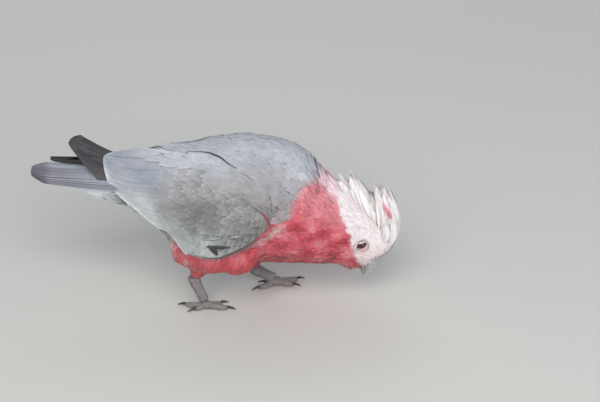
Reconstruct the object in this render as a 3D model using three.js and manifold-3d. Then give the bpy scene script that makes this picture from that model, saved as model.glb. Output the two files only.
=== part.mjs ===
// A galah (Eolophus roseicapilla), life size, standing still while it feeds with its head down.
// Millimetres. +X points to the head, +Y to the bird's left, +Z up, and the soles stand on Z = 0.
// Each part of the body is one closed solid. Neighbours are parted by cuts `gap` wide.

import * as THREE from 'three';
import { mergeVertices } from 'three/addons/utils/BufferGeometryUtils.js';
import Module from 'manifold-3d';

const wasm = await Module();
wasm.setup();

const vec = (x, y, z) => new THREE.Vector3(x, y, z);
const across = vec(0, 1, 0); // the bird's own left

// ---- Driving dimensions ----

const gap = 0.35; // width of each parting cut
const middleOfLength = -26.32; // X of the middle of the outline, which the finished group moves to X = 0
const headCentre = vec(100, 0, 64);
const headPitch = THREE.MathUtils.degToRad(45); // the head looks this far down
const eyeRadius = 5.4;
const eyePlace = { forward: 3.2, side: 16.4, up: 3.1 }; // from the head's centre, in the head's frame
const orbit = { radius: 8.2, depth: 2.6, side: 21.4 }; // shallow dish of bare skin round the eye
const wingThickness = 4.2;
const tarsusRadius = 4.5;
const neckCut = { top: vec(64, 0, 133), under: vec(48, 0, 40) }; // where the neck leaves the trunk
const headCut = { top: vec(99, 0, 108), under: vec(84, 0, 35) }; // where the head leaves the neck
const rightWingCut = { top: vec(-112, 0, 160), under: vec(-124, 0, 110) }; // primaries from the folded wing
const leftWingCut = { top: vec(-122, 0, 160), under: vec(-132, 0, 100) };

// ---- Shapes as closed rings ----

// A ring of `count` points round `centre`. `squareness` 2 is an ellipse, more is fuller.
function ring(centre, up, side, count, squareness = 2) {
  const power = 2 / squareness;
  const bent = (v) => Math.sign(v) * Math.abs(v) ** power;
  return Array.from({ length: count }, (_, i) => {
    const angle = (2 * Math.PI * i) / count;
    const point = centre.clone().addScaledVector(up, bent(Math.cos(angle)));
    return point.addScaledVector(side, bent(Math.sin(angle)));
  });
}

// A closed skin over a row of rings, with a fan on each end.
function loft(rings) {
  const count = rings[0].length;
  const points = rings.flat();
  const faces = [];
  for (let r = 0; r + 1 < rings.length; r++) {
    for (let i = 0; i < count; i++) {
      const a = r * count + i;
      const b = r * count + ((i + 1) % count);
      faces.push([a, b, b + count], [a, b + count, a + count]);
    }
  }
  for (const [start, flip] of [[0, true], [(rings.length - 1) * count, false]]) {
    const hub = points.length;
    const end = points.slice(start, start + count);
    points.push(end.reduce((sum, p) => sum.add(p), vec(0, 0, 0)).divideScalar(count));
    for (let i = 0; i < count; i++) {
      const pair = [start + i, start + ((i + 1) % count)];
      if (flip) pair.reverse();
      faces.push([...pair, hub]);
    }
  }
  return solid(points, faces);
}

// A manifold solid from points and triangles, turned inside out if its volume is negative.
function solid(points, faces) {
  let volume = 0;
  for (const [a, b, c] of faces) volume += points[a].dot(points[b].clone().cross(points[c]));
  if (volume < 0) faces.forEach((face) => face.reverse());
  const geometry = new THREE.BufferGeometry().setFromPoints(points);
  geometry.setIndex(faces.flat());
  return fromGeometry(geometry);
}

function fromGeometry(geometry) {
  const bare = geometry.clone();
  bare.deleteAttribute('normal');
  bare.deleteAttribute('uv');
  const merged = mergeVertices(bare, 1e-4);
  const vertProperties = new Float32Array(merged.attributes.position.array);
  const triVerts = new Uint32Array(merged.index.array);
  return new wasm.Manifold(new wasm.Mesh({ numProp: 3, vertProperties, triVerts }));
}

function toGeometry(made) {
  const { vertProperties, triVerts, numProp } = made.getMesh();
  const position = new Float32Array((vertProperties.length / numProp) * 3);
  for (let i = 0; i < position.length / 3; i++) {
    for (let k = 0; k < 3; k++) position[3 * i + k] = vertProperties[numProp * i + k];
  }
  const geometry = new THREE.BufferGeometry();
  geometry.setAttribute('position', new THREE.BufferAttribute(position, 3));
  geometry.setIndex(new THREE.BufferAttribute(new Uint32Array(triVerts), 1));
  return geometry;
}

const join = (pieces) => pieces.reduce((sum, piece) => sum.add(piece));
const largest = (made) => made.decompose().sort((a, b) => b.volume() - a.volume())[0];
const curve = (points) => new THREE.CatmullRomCurve3(points, false, 'centripetal');

function ball(centre, radii, segments = 12) {
  const geometry = new THREE.SphereGeometry(1, segments, Math.round(segments * 0.7));
  geometry.scale(radii.x, radii.y, radii.z).translate(centre.x, centre.y, centre.z);
  return fromGeometry(geometry);
}

// A tube along `points`, each { at, radius } with an optional flatness of its height.
function limb(points, { steps = 10, sides = 10, flat = 1 } = {}) {
  const line = curve(points.map((p) => p.at));
  const radii = curve(points.map((p) => vec(p.radius, 0, 0)));
  return loft(Array.from({ length: steps + 1 }, (_, i) => {
    const s = i / steps;
    const along = line.getTangent(s);
    const reference = Math.abs(along.z) > 0.9 ? vec(1, 0, 0) : vec(0, 0, 1);
    const side = reference.clone().cross(along).normalize();
    const up = along.clone().cross(side).normalize();
    const radius = Math.max(radii.getPoint(s).x, 0.25);
    return ring(line.getPoint(s), up.multiplyScalar(radius * flat), side.multiplyScalar(radius), sides);
  }));
}

// One stiff feather as a thin blade, its face turned by `facing`. `tip` is the share of it that narrows.
function blade({ line, width, thickness, facing, tip, steps, sides }) {
  const path = curve(line);
  return loft(Array.from({ length: steps + 1 }, (_, i) => {
    const s = i / steps;
    const along = path.getTangent(s);
    const side = facing.clone().cross(along).normalize();
    const up = along.clone().cross(side).normalize();
    const taper = Math.min(0.62 + 0.9 * s, 1) * Math.sqrt(Math.min((1.06 - s) / tip, 1));
    up.multiplyScalar((thickness / 2) * (1 - 0.45 * s));
    side.multiplyScalar((width / 2) * taper);
    return ring(path.getPoint(s), up, side, sides);
  }));
}

// A thin box that cuts the body across, along the line from `top` to `under` in the XZ plane.
function slab({ top, under }) {
  const reach = 260;
  const slope = Math.atan2(top.x - under.x, top.z - under.z);
  const middle = top.clone().add(under).multiplyScalar(0.5);
  const geometry = new THREE.BoxGeometry(gap, reach, reach);
  return fromGeometry(geometry.rotateY(slope).translate(middle.x, 0, middle.z));
}

// ---- The head's own frame ----

const headForward = vec(Math.cos(headPitch), 0, -Math.sin(headPitch));
const headUp = vec(Math.sin(headPitch), 0, Math.cos(headPitch));

function onHead(forward, side, up) {
  const sideways = vec(0, side, 0);
  return headCentre.clone().addScaledVector(headForward, forward).add(sideways).addScaledVector(headUp, up);
}

// ---- Body: one form from the tail root to the bill, then parted ----

// Each station crosses the body from the back line to the belly line: [x, z] of both, and half the width.
const bodyStations = [
  { back: [-142, 113], belly: [-143, 108], half: 9 }, // end of the under tail coverts
  { back: [-126, 121], belly: [-128, 99], half: 18 },
  { back: [-107, 132], belly: [-109, 87], half: 26 }, // rump and vent
  { back: [-88, 143], belly: [-88, 72], half: 34 },
  { back: [-66, 152.5], belly: [-66, 56], half: 40 },
  { back: [-40, 160], belly: [-40, 46], half: 44.5 },
  { back: [-14, 163], belly: [-14, 43], half: 47 },
  { back: [14, 162], belly: [12, 41.5], half: 48 }, // deepest part of the breast
  { back: [41, 155], belly: [34, 40.5], half: 46.5 },
  { back: [58, 144], belly: [46, 39.8], half: 43 }, // shoulders, where the mantle ends in a step
  { back: [69.5, 128], belly: [58, 39], half: 38.5 },
  { back: [79, 120.5], belly: [69, 38], half: 34 },
  { back: [92, 115], belly: [79, 36.5], half: 29.5 }, // hind neck
  { back: [107, 101], belly: [87, 34], half: 25.5 },
  { back: [120.5, 88.5], belly: [95, 33.4], half: 22.3 }, // crown and cheeks
  { back: [129.5, 77], belly: [101, 34], half: 20 },
  { back: [132.5, 66], belly: [106, 36], half: 16.8 }, // forehead and chin
  { back: [130.5, 56], belly: [110, 40], half: 12.4 },
  { back: [125, 49.5], belly: [114.5, 44], half: 7.5 },
];

function bodyForm() {
  const back = curve(bodyStations.map(({ back: [x, z] }) => vec(x, 0, z)));
  const belly = curve(bodyStations.map(({ belly: [x, z] }) => vec(x, 0, z)));
  const half = curve(bodyStations.map(({ half: w }, i) => vec(w, i, 0)));
  const steps = Math.round(1.15 * bodyStations.length);
  return loft(Array.from({ length: steps + 1 }, (_, i) => {
    const s = i / steps;
    const top = back.getPoint(s);
    const under = belly.getPoint(s);
    const up = top.clone().sub(under).multiplyScalar(0.5);
    return ring(top.clone().sub(up), up, across.clone().multiplyScalar(half.getPoint(s).x), 20, 2.1);
  }));
}

// ---- Wings: curved shells from a lower edge to an upper edge ----

// Right wing, from the wrist to the tip. The rear half lies over the rump and crosses the other wing.
const rightWing = [
  { lower: [41, -40, 109], upper: [42, -37, 124], bulge: 1.5, thick: 0.3 }, // under the shoulder
  { lower: [30, -47.5, 95], upper: [31, -30, 145], bulge: 8, thick: 0.7 },
  { lower: [10, -51.5, 83], upper: [10, -22, 158.5], bulge: 14, thick: 1 },
  { lower: [-15, -52, 70], upper: [-16, -17, 163], bulge: 17.5, thick: 1 },
  { lower: [-37, -49.5, 65.5], upper: [-41, -12, 161], bulge: 17.5, thick: 1 },
  { lower: [-60, -45, 76], upper: [-65, -8, 156.5], bulge: 13.5, thick: 1 },
  { lower: [-86, -37, 92], upper: [-91, 0, 152.5], bulge: 9, thick: 0.9 },
  { lower: [-110, -26, 113], upper: [-112, 10, 149], bulge: 6, thick: 0.8 },
  { lower: [-127, -14, 130], upper: [-126, 18, 149.5], bulge: 3.5, thick: 0.7 },
  { lower: [-143, -3, 142.5], upper: [-140, 22, 154], bulge: 2, thick: 0.55 },
  { lower: [-157, 9, 152], upper: [-155, 18, 157], bulge: 1, thick: 0.4 }, // tip
];

// Left wing: the same as far as the elbow, then its tip drops beside the tail.
const leftWing = [
  ...rightWing.slice(0, 5).map((row) => mirrored(row)),
  { lower: [-60, 45.5, 76], upper: [-65, 9, 157], bulge: 14.5, thick: 1 },
  { lower: [-86, 41, 90], upper: [-91, 7, 149], bulge: 12, thick: 0.9 },
  { lower: [-112, 36.5, 104], upper: [-114, 9, 139], bulge: 8, thick: 0.8 },
  { lower: [-134, 34.5, 113], upper: [-134, 15, 133.5], bulge: 4.5, thick: 0.7 },
  { lower: [-154, 32.5, 120], upper: [-153, 21, 132], bulge: 2, thick: 0.55 },
  { lower: [-174, 30, 126], upper: [-173, 25.5, 130], bulge: 1, thick: 0.4 }, // tip
];

function mirrored({ lower: [lx, ly, lz], upper: [ux, uy, uz], ...rest }) {
  return { lower: [lx, -ly, lz], upper: [ux, -uy, uz], ...rest };
}

// `outward` and `inward` move the two faces away from the wing, and `rim` its edges, to make a cutter of it.
function wingShell(rows, side, { outward = 0, inward = 0, rim = 0 } = {}) {
  const lower = curve(rows.map((row) => vec(...row.lower)));
  const upper = curve(rows.map((row) => vec(...row.upper)));
  const form = curve(rows.map((row, i) => vec(row.bulge, i * 10, row.thick * 10)));
  const along = 14;
  const acrossSteps = 6;
  const rings = [];
  for (let i = 0; i <= along; i++) {
    const s = i / along;
    const run = lower.getTangent(s).add(upper.getTangent(s)).normalize();
    const span = upper.getPoint(s).sub(lower.getPoint(s)).normalize();
    const end = i === 0 ? -rim : i === along ? rim : 0;
    const low = lower.getPoint(s).addScaledVector(span, -rim).addScaledVector(run, end);
    const chord = upper.getPoint(s).addScaledVector(span, rim).addScaledVector(run, end).sub(low);
    const out = run.clone().cross(chord).normalize().multiplyScalar(side);
    const { x: bulge, z: thickTenfold } = form.getPoint(s);
    const thickness = wingThickness * (thickTenfold / 10);
    const outer = [];
    const inner = [];
    for (let k = 0; k <= acrossSteps; k++) {
      const t = k / acrossSteps;
      const point = low.clone().addScaledVector(chord, t).addScaledVector(out, bulge * 4 * t * (1 - t));
      const slope = chord.clone().addScaledVector(out, bulge * 4 * (1 - 2 * t));
      const normal = run.clone().cross(slope).normalize().multiplyScalar(side);
      const local = thickness * (0.3 + 0.7 * Math.sin(Math.PI * t) ** 0.6);
      outer.push(point.clone().addScaledVector(normal, outward));
      inner.push(point.clone().addScaledVector(normal, -local - inward));
    }
    rings.push([...outer, ...inner.reverse()]);
  }
  return loft(rings);
}

// ---- Tail: twelve feathers in a shallow arch ----

const tail = {
  feathers: 12, width: 15, thickness: 3, arch: 7, // outer feathers sit lower by the arch
  root: { x: -106, z: 127, half: 9 }, tip: { x: -191, z: 129.5, half: 26.5 }, rounding: 9,
};

const edgeTilt = 0.28; // how far the outermost feathers lean out

// A point of the tail: `share` runs from -1 at the right edge to 1 at the left, `s` from the root to the tip.
function onTail(share, s) {
  const { root, tip, arch, rounding } = tail;
  const tipX = tip.x + rounding * Math.abs(share) ** 3;
  const mix = (a, b) => a + (b - a) * s;
  const drop = arch * share * share * (0.5 + 0.5 * s) + 4 * s * (1 - s);
  return vec(mix(root.x, tipX), mix(root.half, tip.half) * share, mix(root.z, tip.z) - drop);
}

function tailFan() {
  return join(Array.from({ length: tail.feathers }, (_, i) => {
    const share = (2 * i) / (tail.feathers - 1) - 1;
    return blade({
      line: [0, 0.5, 1].map((s) => onTail(share, s)),
      width: tail.width,
      thickness: tail.thickness,
      facing: vec(0, edgeTilt * share, 1).normalize(),
      tip: 0.2,
      steps: 2,
      sides: 4,
    });
  }));
}

// An arched block round the root of the fan, which clears its seat in the trunk.
function tailSleeve() {
  const rise = tail.thickness / 2 + gap + 0.8;
  const overhang = tail.width / 2 + gap;
  return loft([-0.06, 0.15, 0.35, 0.6].map((s) => {
    const arch = [-1, -0.5, 0, 0.5, 1].map((share) => onTail(share, s));
    arch.unshift(arch[0].clone().add(vec(0, -overhang, -edgeTilt * overhang)));
    arch.push(arch[5].clone().add(vec(0, overhang, -edgeTilt * overhang)));
    const under = arch.map((p) => p.clone().setZ(p.z - rise)).reverse();
    return [...arch.map((p) => p.clone().setZ(p.z + rise)), ...under];
  }));
}

// ---- Legs ----

// The right leg stands behind. The left leg is a step ahead and lower at the ankle.
const legs = {
  right: {
    side: -1,
    thigh: vec(-27, -28.5, 69),
    thighRadii: vec(45, 18, 28.5),
    drape: vec(-8, -30, 60), // loose feathers that hang from the front of the thigh
    knee: vec(-33, -27, 57),
    ankle: vec(-47, -23.5, 33),
    foot: vec(-36.5, -22, 6.5),
    toeOut: 0.17,
  },
  left: {
    side: 1,
    thigh: vec(-6, 28, 65),
    thighRadii: vec(36, 17.5, 26),
    drape: vec(8, 28, 54),
    knee: vec(10, 26, 42),
    ankle: vec(6.5, 21, 17.5),
    foot: vec(28, 21, 6.2),
    toeOut: 0.1,
  },
};
const drapeRadii = vec(23, 16, 21);

// Two toes point forward and two back. Angles are from straight ahead, turned to the outside.
const toes = [
  { name: 1, angle: 163, length: 10, radius: 2.5 },
  { name: 2, angle: -16, length: 15, radius: 2.7 },
  { name: 3, angle: 17, length: 20, radius: 2.9 },
  { name: 4, angle: -158, length: 18, radius: 2.7 },
];
const clawLength = 9.5;

function toeLine(leg, toe) {
  const angle = THREE.MathUtils.degToRad(toe.angle) * leg.side + leg.toeOut;
  const ahead = vec(Math.cos(angle), Math.sin(angle), 0);
  const height = toe.radius * 0.7; // the sole is flattened where it meets the floor
  const at = (share, z) => leg.foot.clone().addScaledVector(ahead, toe.length * share).setZ(z);
  return { ahead, height, points: [at(0, 4.4), at(0.35, height + 0.9), at(0.7, height), at(1, height)] };
}

function toeSolid(leg, toe) {
  const { points } = toeLine(leg, toe);
  const radii = [toe.radius * 1.15, toe.radius, toe.radius * 1.04, toe.radius * 0.72];
  return limb(points.map((at, i) => ({ at, radius: radii[i] })), { steps: 3, sides: 6 });
}

function clawSolid(leg, toe) {
  const { ahead, height, points } = toeLine(leg, toe);
  const root = points[3].clone().addScaledVector(ahead, -1.2).setZ(height + 0.5);
  const along = (share, z) => root.clone().addScaledVector(ahead, clawLength * share).setZ(z);
  const line = [root, along(0.35, height + 1.3), along(0.7, height + 0.4), along(0.98, 0.75)];
  const radii = [1.5, 1.45, 1, 0.4];
  return limb(line.map((at, i) => ({ at, radius: radii[i] })), { steps: 3, sides: 5 });
}

const floorCutter = fromGeometry(new THREE.BoxGeometry(600, 400, 40).translate(0, 0, -20));

function thighSolid(leg) {
  const shank = limb([
    { at: leg.thigh.clone().lerp(leg.knee, 0.4), radius: 17 },
    { at: leg.knee, radius: 13.5 },
    { at: leg.knee.clone().lerp(leg.ankle, 0.6), radius: 8.4 },
    { at: leg.ankle.clone().lerp(leg.knee, 0.06), radius: 6 },
  ], { steps: 4, sides: 10 });
  return join([ball(leg.thigh, leg.thighRadii), ball(leg.drape, drapeRadii, 8), shank]);
}

function tarsusSolid(leg) {
  const shin = leg.ankle.clone().lerp(leg.foot, 0.5);
  return limb([
    { at: leg.ankle.clone().lerp(leg.foot, -0.04), radius: tarsusRadius * 1.05 },
    { at: leg.ankle.clone().lerp(leg.foot, 0.12), radius: tarsusRadius * 1.2 },
    { at: shin, radius: tarsusRadius * 0.95 },
    { at: leg.ankle.clone().lerp(leg.foot, 0.86), radius: tarsusRadius },
  ], { steps: 5, sides: 10 });
}

// ---- Bill ----

// Rows run from the face to the tip, in the head's frame: [forward, up] of the ridge and of the cutting edge.
const upperBill = [
  { ridge: [23, 3], edge: [17, -12], half: 8.6 },
  { ridge: [29.5, -0.5], edge: [22, -14.5], half: 8.4 },
  { ridge: [34, -4.5], edge: [26, -16.5], half: 7.6 },
  { ridge: [36.8, -10], edge: [29, -18], half: 6.3 },
  { ridge: [37.6, -16], edge: [31.2, -20], half: 4.6 },
  { ridge: [36.8, -21.5], edge: [32.6, -22.8], half: 2.9 },
  { ridge: [35, -26], edge: [34, -25.8], half: 0.9 },
];
const lowerBill = [
  { ridge: [13, -15.5], edge: [13, -25.5], half: 8.2 },
  { ridge: [19, -17.2], edge: [19.5, -26.5], half: 7.9 },
  { ridge: [24, -18.6], edge: [25.5, -25.5], half: 6.8 },
  { ridge: [28.2, -19.6], edge: [29.6, -22.6], half: 4.6 },
  { ridge: [30.2, -20.6], edge: [30.8, -21.4], half: 2.2 },
];

function billForm(rows, squareness) {
  const ridge = curve(rows.map(({ ridge: [f, u] }) => onHead(f, 0, u)));
  const edge = curve(rows.map(({ edge: [f, u] }) => onHead(f, 0, u)));
  const half = curve(rows.map(({ half: w }, i) => vec(w, i, 0)));
  const steps = Math.round(1.3 * rows.length);
  return loft(Array.from({ length: steps + 1 }, (_, i) => {
    const s = i / steps;
    const up = ridge.getPoint(s).sub(edge.getPoint(s)).multiplyScalar(0.5);
    const centre = edge.getPoint(s).add(up);
    return ring(centre, up, across.clone().multiplyScalar(half.getPoint(s).x), 10, squareness);
  }));
}

// ---- Crest: lance-shaped feathers in two lobes, on a pad that covers the crown ----

// Places are [forward, up] in the head's frame. `fan` is the sideways spread of the row.
const crestRows = [
  { root: [25, 8], bend: [20.5, 29.5], end: [-9, 54], count: 2, fan: 5, width: 12 },
  { root: [19, 17], bend: [11, 37], end: [-19.5, 56.5], count: 3, fan: 9, width: 16 },
  { root: [11, 22], bend: [-2, 37], end: [-26, 51], count: 3, fan: 11, width: 17 },
  { root: [3, 25], bend: [-14, 35], end: [-39, 42.5], count: 3, fan: 10, width: 16 },
  { root: [-6, 25], bend: [-25, 34], end: [-49, 42.5], count: 2, fan: 7, width: 14 },
];

function crestForm(head, neck) {
  const blades = crestRows.flatMap(({ root, bend, end, count, fan, width }) =>
    Array.from({ length: count }, (_, i) => {
      const share = count > 1 ? (2 * i) / (count - 1) - 1 : 0;
      const fall = 0.22 * Math.abs(share); // outer feathers are shorter
      const shortEnd = end.map((v, k) => v + (bend[k] - v) * fall);
      return blade({
        line: [
          onHead(root[0], fan * 0.8 * share, root[1] - 2.5 * Math.abs(share)),
          onHead(bend[0], fan * share, bend[1] - 3 * Math.abs(share)),
          onHead(shortEnd[0], fan * 0.7 * share, shortEnd[1] - 2 * Math.abs(share)),
        ],
        width,
        thickness: 2.6,
        facing: headForward.clone().add(headUp).addScaledVector(across, 2.4 * share).normalize(),
        tip: 0.5,
        steps: 3,
        sides: 4,
      });
    }));
  const pad = swollen(head, 1.075).intersect(ball(onHead(4, 0, 26), vec(24, 14, 24), 8));
  const clear = swollen(head, 1.016).add(neck).add(neck.translate([gap, 0, gap]));
  return largest(join([pad, ...blades]).subtract(clear));
}

function swollen(made, factor) {
  const { x, y, z } = headCentre;
  return made.translate([-x, -y, -z]).scale([factor, factor, factor]).translate([x, y, z]);
}

// ---- Cutting the body and fitting the parts ----

const solids = {};

function buildBody() {
  const whole = bodyForm()
    .subtract(slab(neckCut))
    .subtract(slab(headCut));
  const rear = (made) => made.boundingBox().min[0];
  const [trunk, neck, head] = whole.decompose().sort((a, b) => rear(a) - rear(b));
  return { trunk, neck, head };
}

function buildWings() {
  const right = wingShell(rightWing, -1);
  const over = wingShell(rightWing, -1, { outward: 30, inward: gap, rim: gap });
  const left = largest(wingShell(leftWing, 1).subtract(over));
  const cutters = [
    wingShell(rightWing, -1, { outward: 14, inward: gap, rim: gap }),
    wingShell(leftWing, 1, { outward: 14, inward: gap, rim: gap }),
  ];
  return { right, left, cutters };
}

function splitWing(wing, side, cut) {
  const halves = wing.subtract(cut).decompose().sort((a, b) => b.volume() - a.volume());
  solids[`wing_${side}`] = halves[0];
  solids[`primaries_${side}`] = halves[1];
}

function buildAll() {
  const body = buildBody();
  const wings = buildWings();
  splitWing(wings.right, 'right', slab(rightWingCut));
  splitWing(wings.left, 'left', slab(leftWingCut));
  solids.tail = largest(tailFan().subtract(wings.cutters[0]).subtract(wings.cutters[1]));
  let trunk = body.trunk.subtract(tailSleeve());
  for (const cutter of wings.cutters) trunk = trunk.subtract(cutter);
  for (const [side, leg] of Object.entries(legs)) {
    const thigh = thighSolid(leg);
    trunk = trunk.subtract(thigh).subtract(swollenAt(thigh, leg.thigh, 1.014));
    buildLeg(side, leg, wings.cutters);
  }
  solids.trunk = largest(trunk);
  solids.neck = body.neck;
  buildHead(body.head, body.neck);
}

function buildLeg(side, leg, wingCutters) {
  const tarsus = tarsusSolid(leg);
  const ankleBall = ball(leg.foot.clone().setZ(4.6), vec(5, 4.8, 4.4), 6);
  const foot = join([ankleBall, ...toes.map((toe) => toeSolid(leg, toe))]);
  let thigh = thighSolid(leg);
  for (const cutter of wingCutters) thigh = thigh.subtract(cutter);
  solids[`thigh_${side}`] = largest(thigh.subtract(swollenAt(tarsus, leg.ankle, 1.12)));
  const footCut = swollenAt(foot, leg.foot, 1.08).add(foot.translate([0, 0, gap]));
  solids[`leg_${side}`] = largest(tarsus.subtract(footCut));
  solids[`foot_${side}`] = largest(foot.subtract(floorCutter));
  for (const toe of toes) {
    const clear = swollenAt(toeSolid(leg, toe), leg.foot, 1.03).add(floorCutter);
    solids[`claw_${side}_${toe.name}`] = largest(clawSolid(leg, toe).subtract(clear));
  }
}

function buildHead(form, neck) {
  const clear = swollen(form, 1.016);
  solids.bill_upper = largest(billForm(upperBill, 2.3).subtract(clear));
  const mandible = billForm(lowerBill, 2.4).subtract(clear);
  solids.bill_lower = largest(mandible.subtract(billForm(upperBill.map(widened), 2.3)));
  solids.crest = crestForm(form, neck);
  let head = form;
  for (const [name, side] of [['eye_right', -1], ['eye_left', 1]]) {
    const centre = onHead(eyePlace.forward, side * eyePlace.side, eyePlace.up);
    const dishCentre = onHead(eyePlace.forward, side * orbit.side, eyePlace.up);
    const dish = ball(dishCentre, vec(orbit.radius, orbit.depth, orbit.radius));
    const socket = ball(centre, vec(1, 1, 1).multiplyScalar(eyeRadius + gap));
    head = head.subtract(dish).subtract(socket);
    solids[name] = ball(centre, vec(1, 1, 1).multiplyScalar(eyeRadius));
  }
  solids.head = largest(head);
}

function swollenAt(made, centre, factor) {
  const { x, y, z } = centre;
  return made.translate([-x, -y, -z]).scale([factor, factor, factor]).translate([x, y, z]);
}

function widened({ ridge, edge, half }) {
  return { ridge, edge: [edge[0] - gap, edge[1] - gap], half: half + gap };
}

buildAll();

// ---- Materials and the finished group ----

const colours = {
  trunk: 0xd9606c, neck: 0xd9606c, thigh: 0xd9606c, head: 0xf1e2e2, crest: 0xf6eeee, bill: 0xd8d6cc,
  eye: 0x2b1512,
  wing: 0xa4a6ac, primaries: 0x5d5a60, tail: 0xb3b4bc, leg: 0x8d8486, foot: 0x8d8486, claw: 0x3d393b,
};

const galah = new THREE.Group();
for (const [name, made] of Object.entries(solids)) {
  const family = name.split('_')[0];
  const material = new THREE.MeshStandardMaterial({
    color: colours[family],
    roughness: family === 'eye' ? 0.08 : family === 'bill' || family === 'claw' ? 0.4 : 0.85,
    metalness: 0,
  });
  const mesh = new THREE.Mesh(toGeometry(made), material);
  mesh.name = name;
  galah.add(mesh);
}
galah.position.x = -middleOfLength;

export default galah;
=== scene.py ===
import itertools
import math

import bpy
import bmesh
import numpy as np
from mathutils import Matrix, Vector
from mathutils.bvhtree import BVHTree
from mathutils.kdtree import KDTree


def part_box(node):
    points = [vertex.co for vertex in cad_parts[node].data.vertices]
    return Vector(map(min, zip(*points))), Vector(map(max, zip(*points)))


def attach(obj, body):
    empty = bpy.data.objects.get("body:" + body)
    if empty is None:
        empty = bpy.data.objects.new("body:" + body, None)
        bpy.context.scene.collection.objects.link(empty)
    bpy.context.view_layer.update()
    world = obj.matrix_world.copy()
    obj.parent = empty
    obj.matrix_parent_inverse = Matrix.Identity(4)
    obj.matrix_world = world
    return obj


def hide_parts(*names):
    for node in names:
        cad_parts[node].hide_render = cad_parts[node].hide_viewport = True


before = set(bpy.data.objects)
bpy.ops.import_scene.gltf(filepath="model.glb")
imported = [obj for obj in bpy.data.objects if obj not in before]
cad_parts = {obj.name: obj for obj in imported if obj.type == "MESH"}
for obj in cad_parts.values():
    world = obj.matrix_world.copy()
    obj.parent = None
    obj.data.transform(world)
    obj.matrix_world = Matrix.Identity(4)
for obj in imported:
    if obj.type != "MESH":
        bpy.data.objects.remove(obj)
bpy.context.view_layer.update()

draw = np.random.default_rng(11)
mm = 0.001  # shapes are worked out in millimetres of the frame and become metres in the meshes
sides = {"right": -1, "left": 1}  # and the sign of y on each


# camera, floor and light
view = {
    "aim": (75.8, 0, 98.9),
    "distance": 2500,
    "elevation": 28,
    "lens": 166.67,
    "sensor": 36,
    "floorSize": 6000,
    "floorColour": "#cfcfca",
    "skyColour": "#dfe6f0",
    "skyStrength": 0.42,
    "lamps": [  # place, size, watts, colour
        ((-200, -1900, 1750), 1700, 48, "#fffaf3"),
        ((1300, -1500, 900), 1300, 14, "#f4f7ff"),
        ((-300, 1800, 1500), 1600, 10, "#f4f7ff"),
    ],
}


def colour(hexValue):  # sRGB hex to linear
    parts = [int(hexValue[i:i + 2], 16) / 255 for i in (1, 3, 5)]
    return [c / 12.92 if c <= 0.04045 else ((c + 0.055) / 1.055) ** 2.4 for c in parts]


def deselectAll():
    if bpy.context.object and bpy.context.object.mode != "OBJECT":
        bpy.ops.object.mode_set(mode="OBJECT")
    bpy.ops.object.select_all(action="DESELECT")


def addPiece(name, mesh):
    piece = bpy.data.objects.new(name, mesh)
    bpy.context.scene.collection.objects.link(piece)
    return piece


def makeActive(piece):
    deselectAll()
    piece.select_set(True)
    bpy.context.view_layer.objects.active = piece


def addNode(tree, kind, settings=None, **links):
    node = tree.nodes.new(kind)
    for name, value in (settings or {}).items():
        if name in node.inputs and not hasattr(type(node), name):
            node.inputs[name].default_value = value
        else:
            setattr(node, name, value)
    for name, source in links.items():
        key = int(name[1:]) if name[0] == "_" else name.replace("_", " ")
        tree.links.new(source, node.inputs[key])
    return node


def newFinish(name, **inputs):
    finish = bpy.data.materials.new(name)
    finish.use_nodes = True
    surface = finish.node_tree.nodes["Principled BSDF"]
    for key, value in inputs.items():
        surface.inputs[key.replace("_", " ")].default_value = value
    return finish, finish.node_tree, surface


def addTexture(tree, kind, size, settings=None):  # fixed to the object, with grains of about size mm
    place = addNode(tree, "ShaderNodeTexCoord")
    return addNode(tree, kind, {"Scale": 1 / (size * mm), **(settings or {})}, Vector=place.outputs["Object"])


def addWeighted(tree, value, factor, plus):  # value * factor + plus
    node = addNode(tree, "ShaderNodeMath", {"operation": "MULTIPLY_ADD"}, _0=value, _2=plus)
    node.inputs[1].default_value = factor
    return node.outputs[0]


def addBands(tree, value, stops):  # a ramp through sRGB hex tones at the places given
    bands = addNode(tree, "ShaderNodeValToRGB", Fac=value)
    ramp = bands.color_ramp
    for number, (at, tone) in enumerate(stops):
        stop = ramp.elements[number] if number < 2 else ramp.elements.new(at)
        stop.position = at
        stop.color = (*colour(tone), 1)
    return bands.outputs["Color"]


def shadeSurface(tree, surface, tone, shade):  # base colour: the tone, lighter or darker by the shade
    shown = addNode(tree, "ShaderNodeVectorMath", {"operation": "SCALE"}, _0=tone, Scale=shade)
    tree.links.new(shown.outputs[0], surface.inputs["Base Color"])


def raiseSurface(tree, surface, height, strength, distance):  # fine relief, distance in mm
    raised = addNode(tree, "ShaderNodeBump", {"Strength": strength, "Distance": distance * mm}, Height=height)
    tree.links.new(raised.outputs["Normal"], surface.inputs["Normal"])


def turnToward(thing, back):  # the thing looks along minus back
    thing.rotation_euler = back.to_track_quat("Z", "Y").to_euler()


def placeCamera():
    tilt = math.radians(view["elevation"])
    back = Vector((0, -math.cos(tilt), math.sin(tilt)))
    bpy.ops.object.camera_add(location=Vector(view["aim"]) * mm + back * view["distance"] * mm)
    camera = bpy.context.object
    turnToward(camera, back)
    camera.data.lens = view["lens"]
    camera.data.sensor_width = view["sensor"]
    camera.data.dof.use_dof = False
    bpy.context.scene.camera = camera


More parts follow.
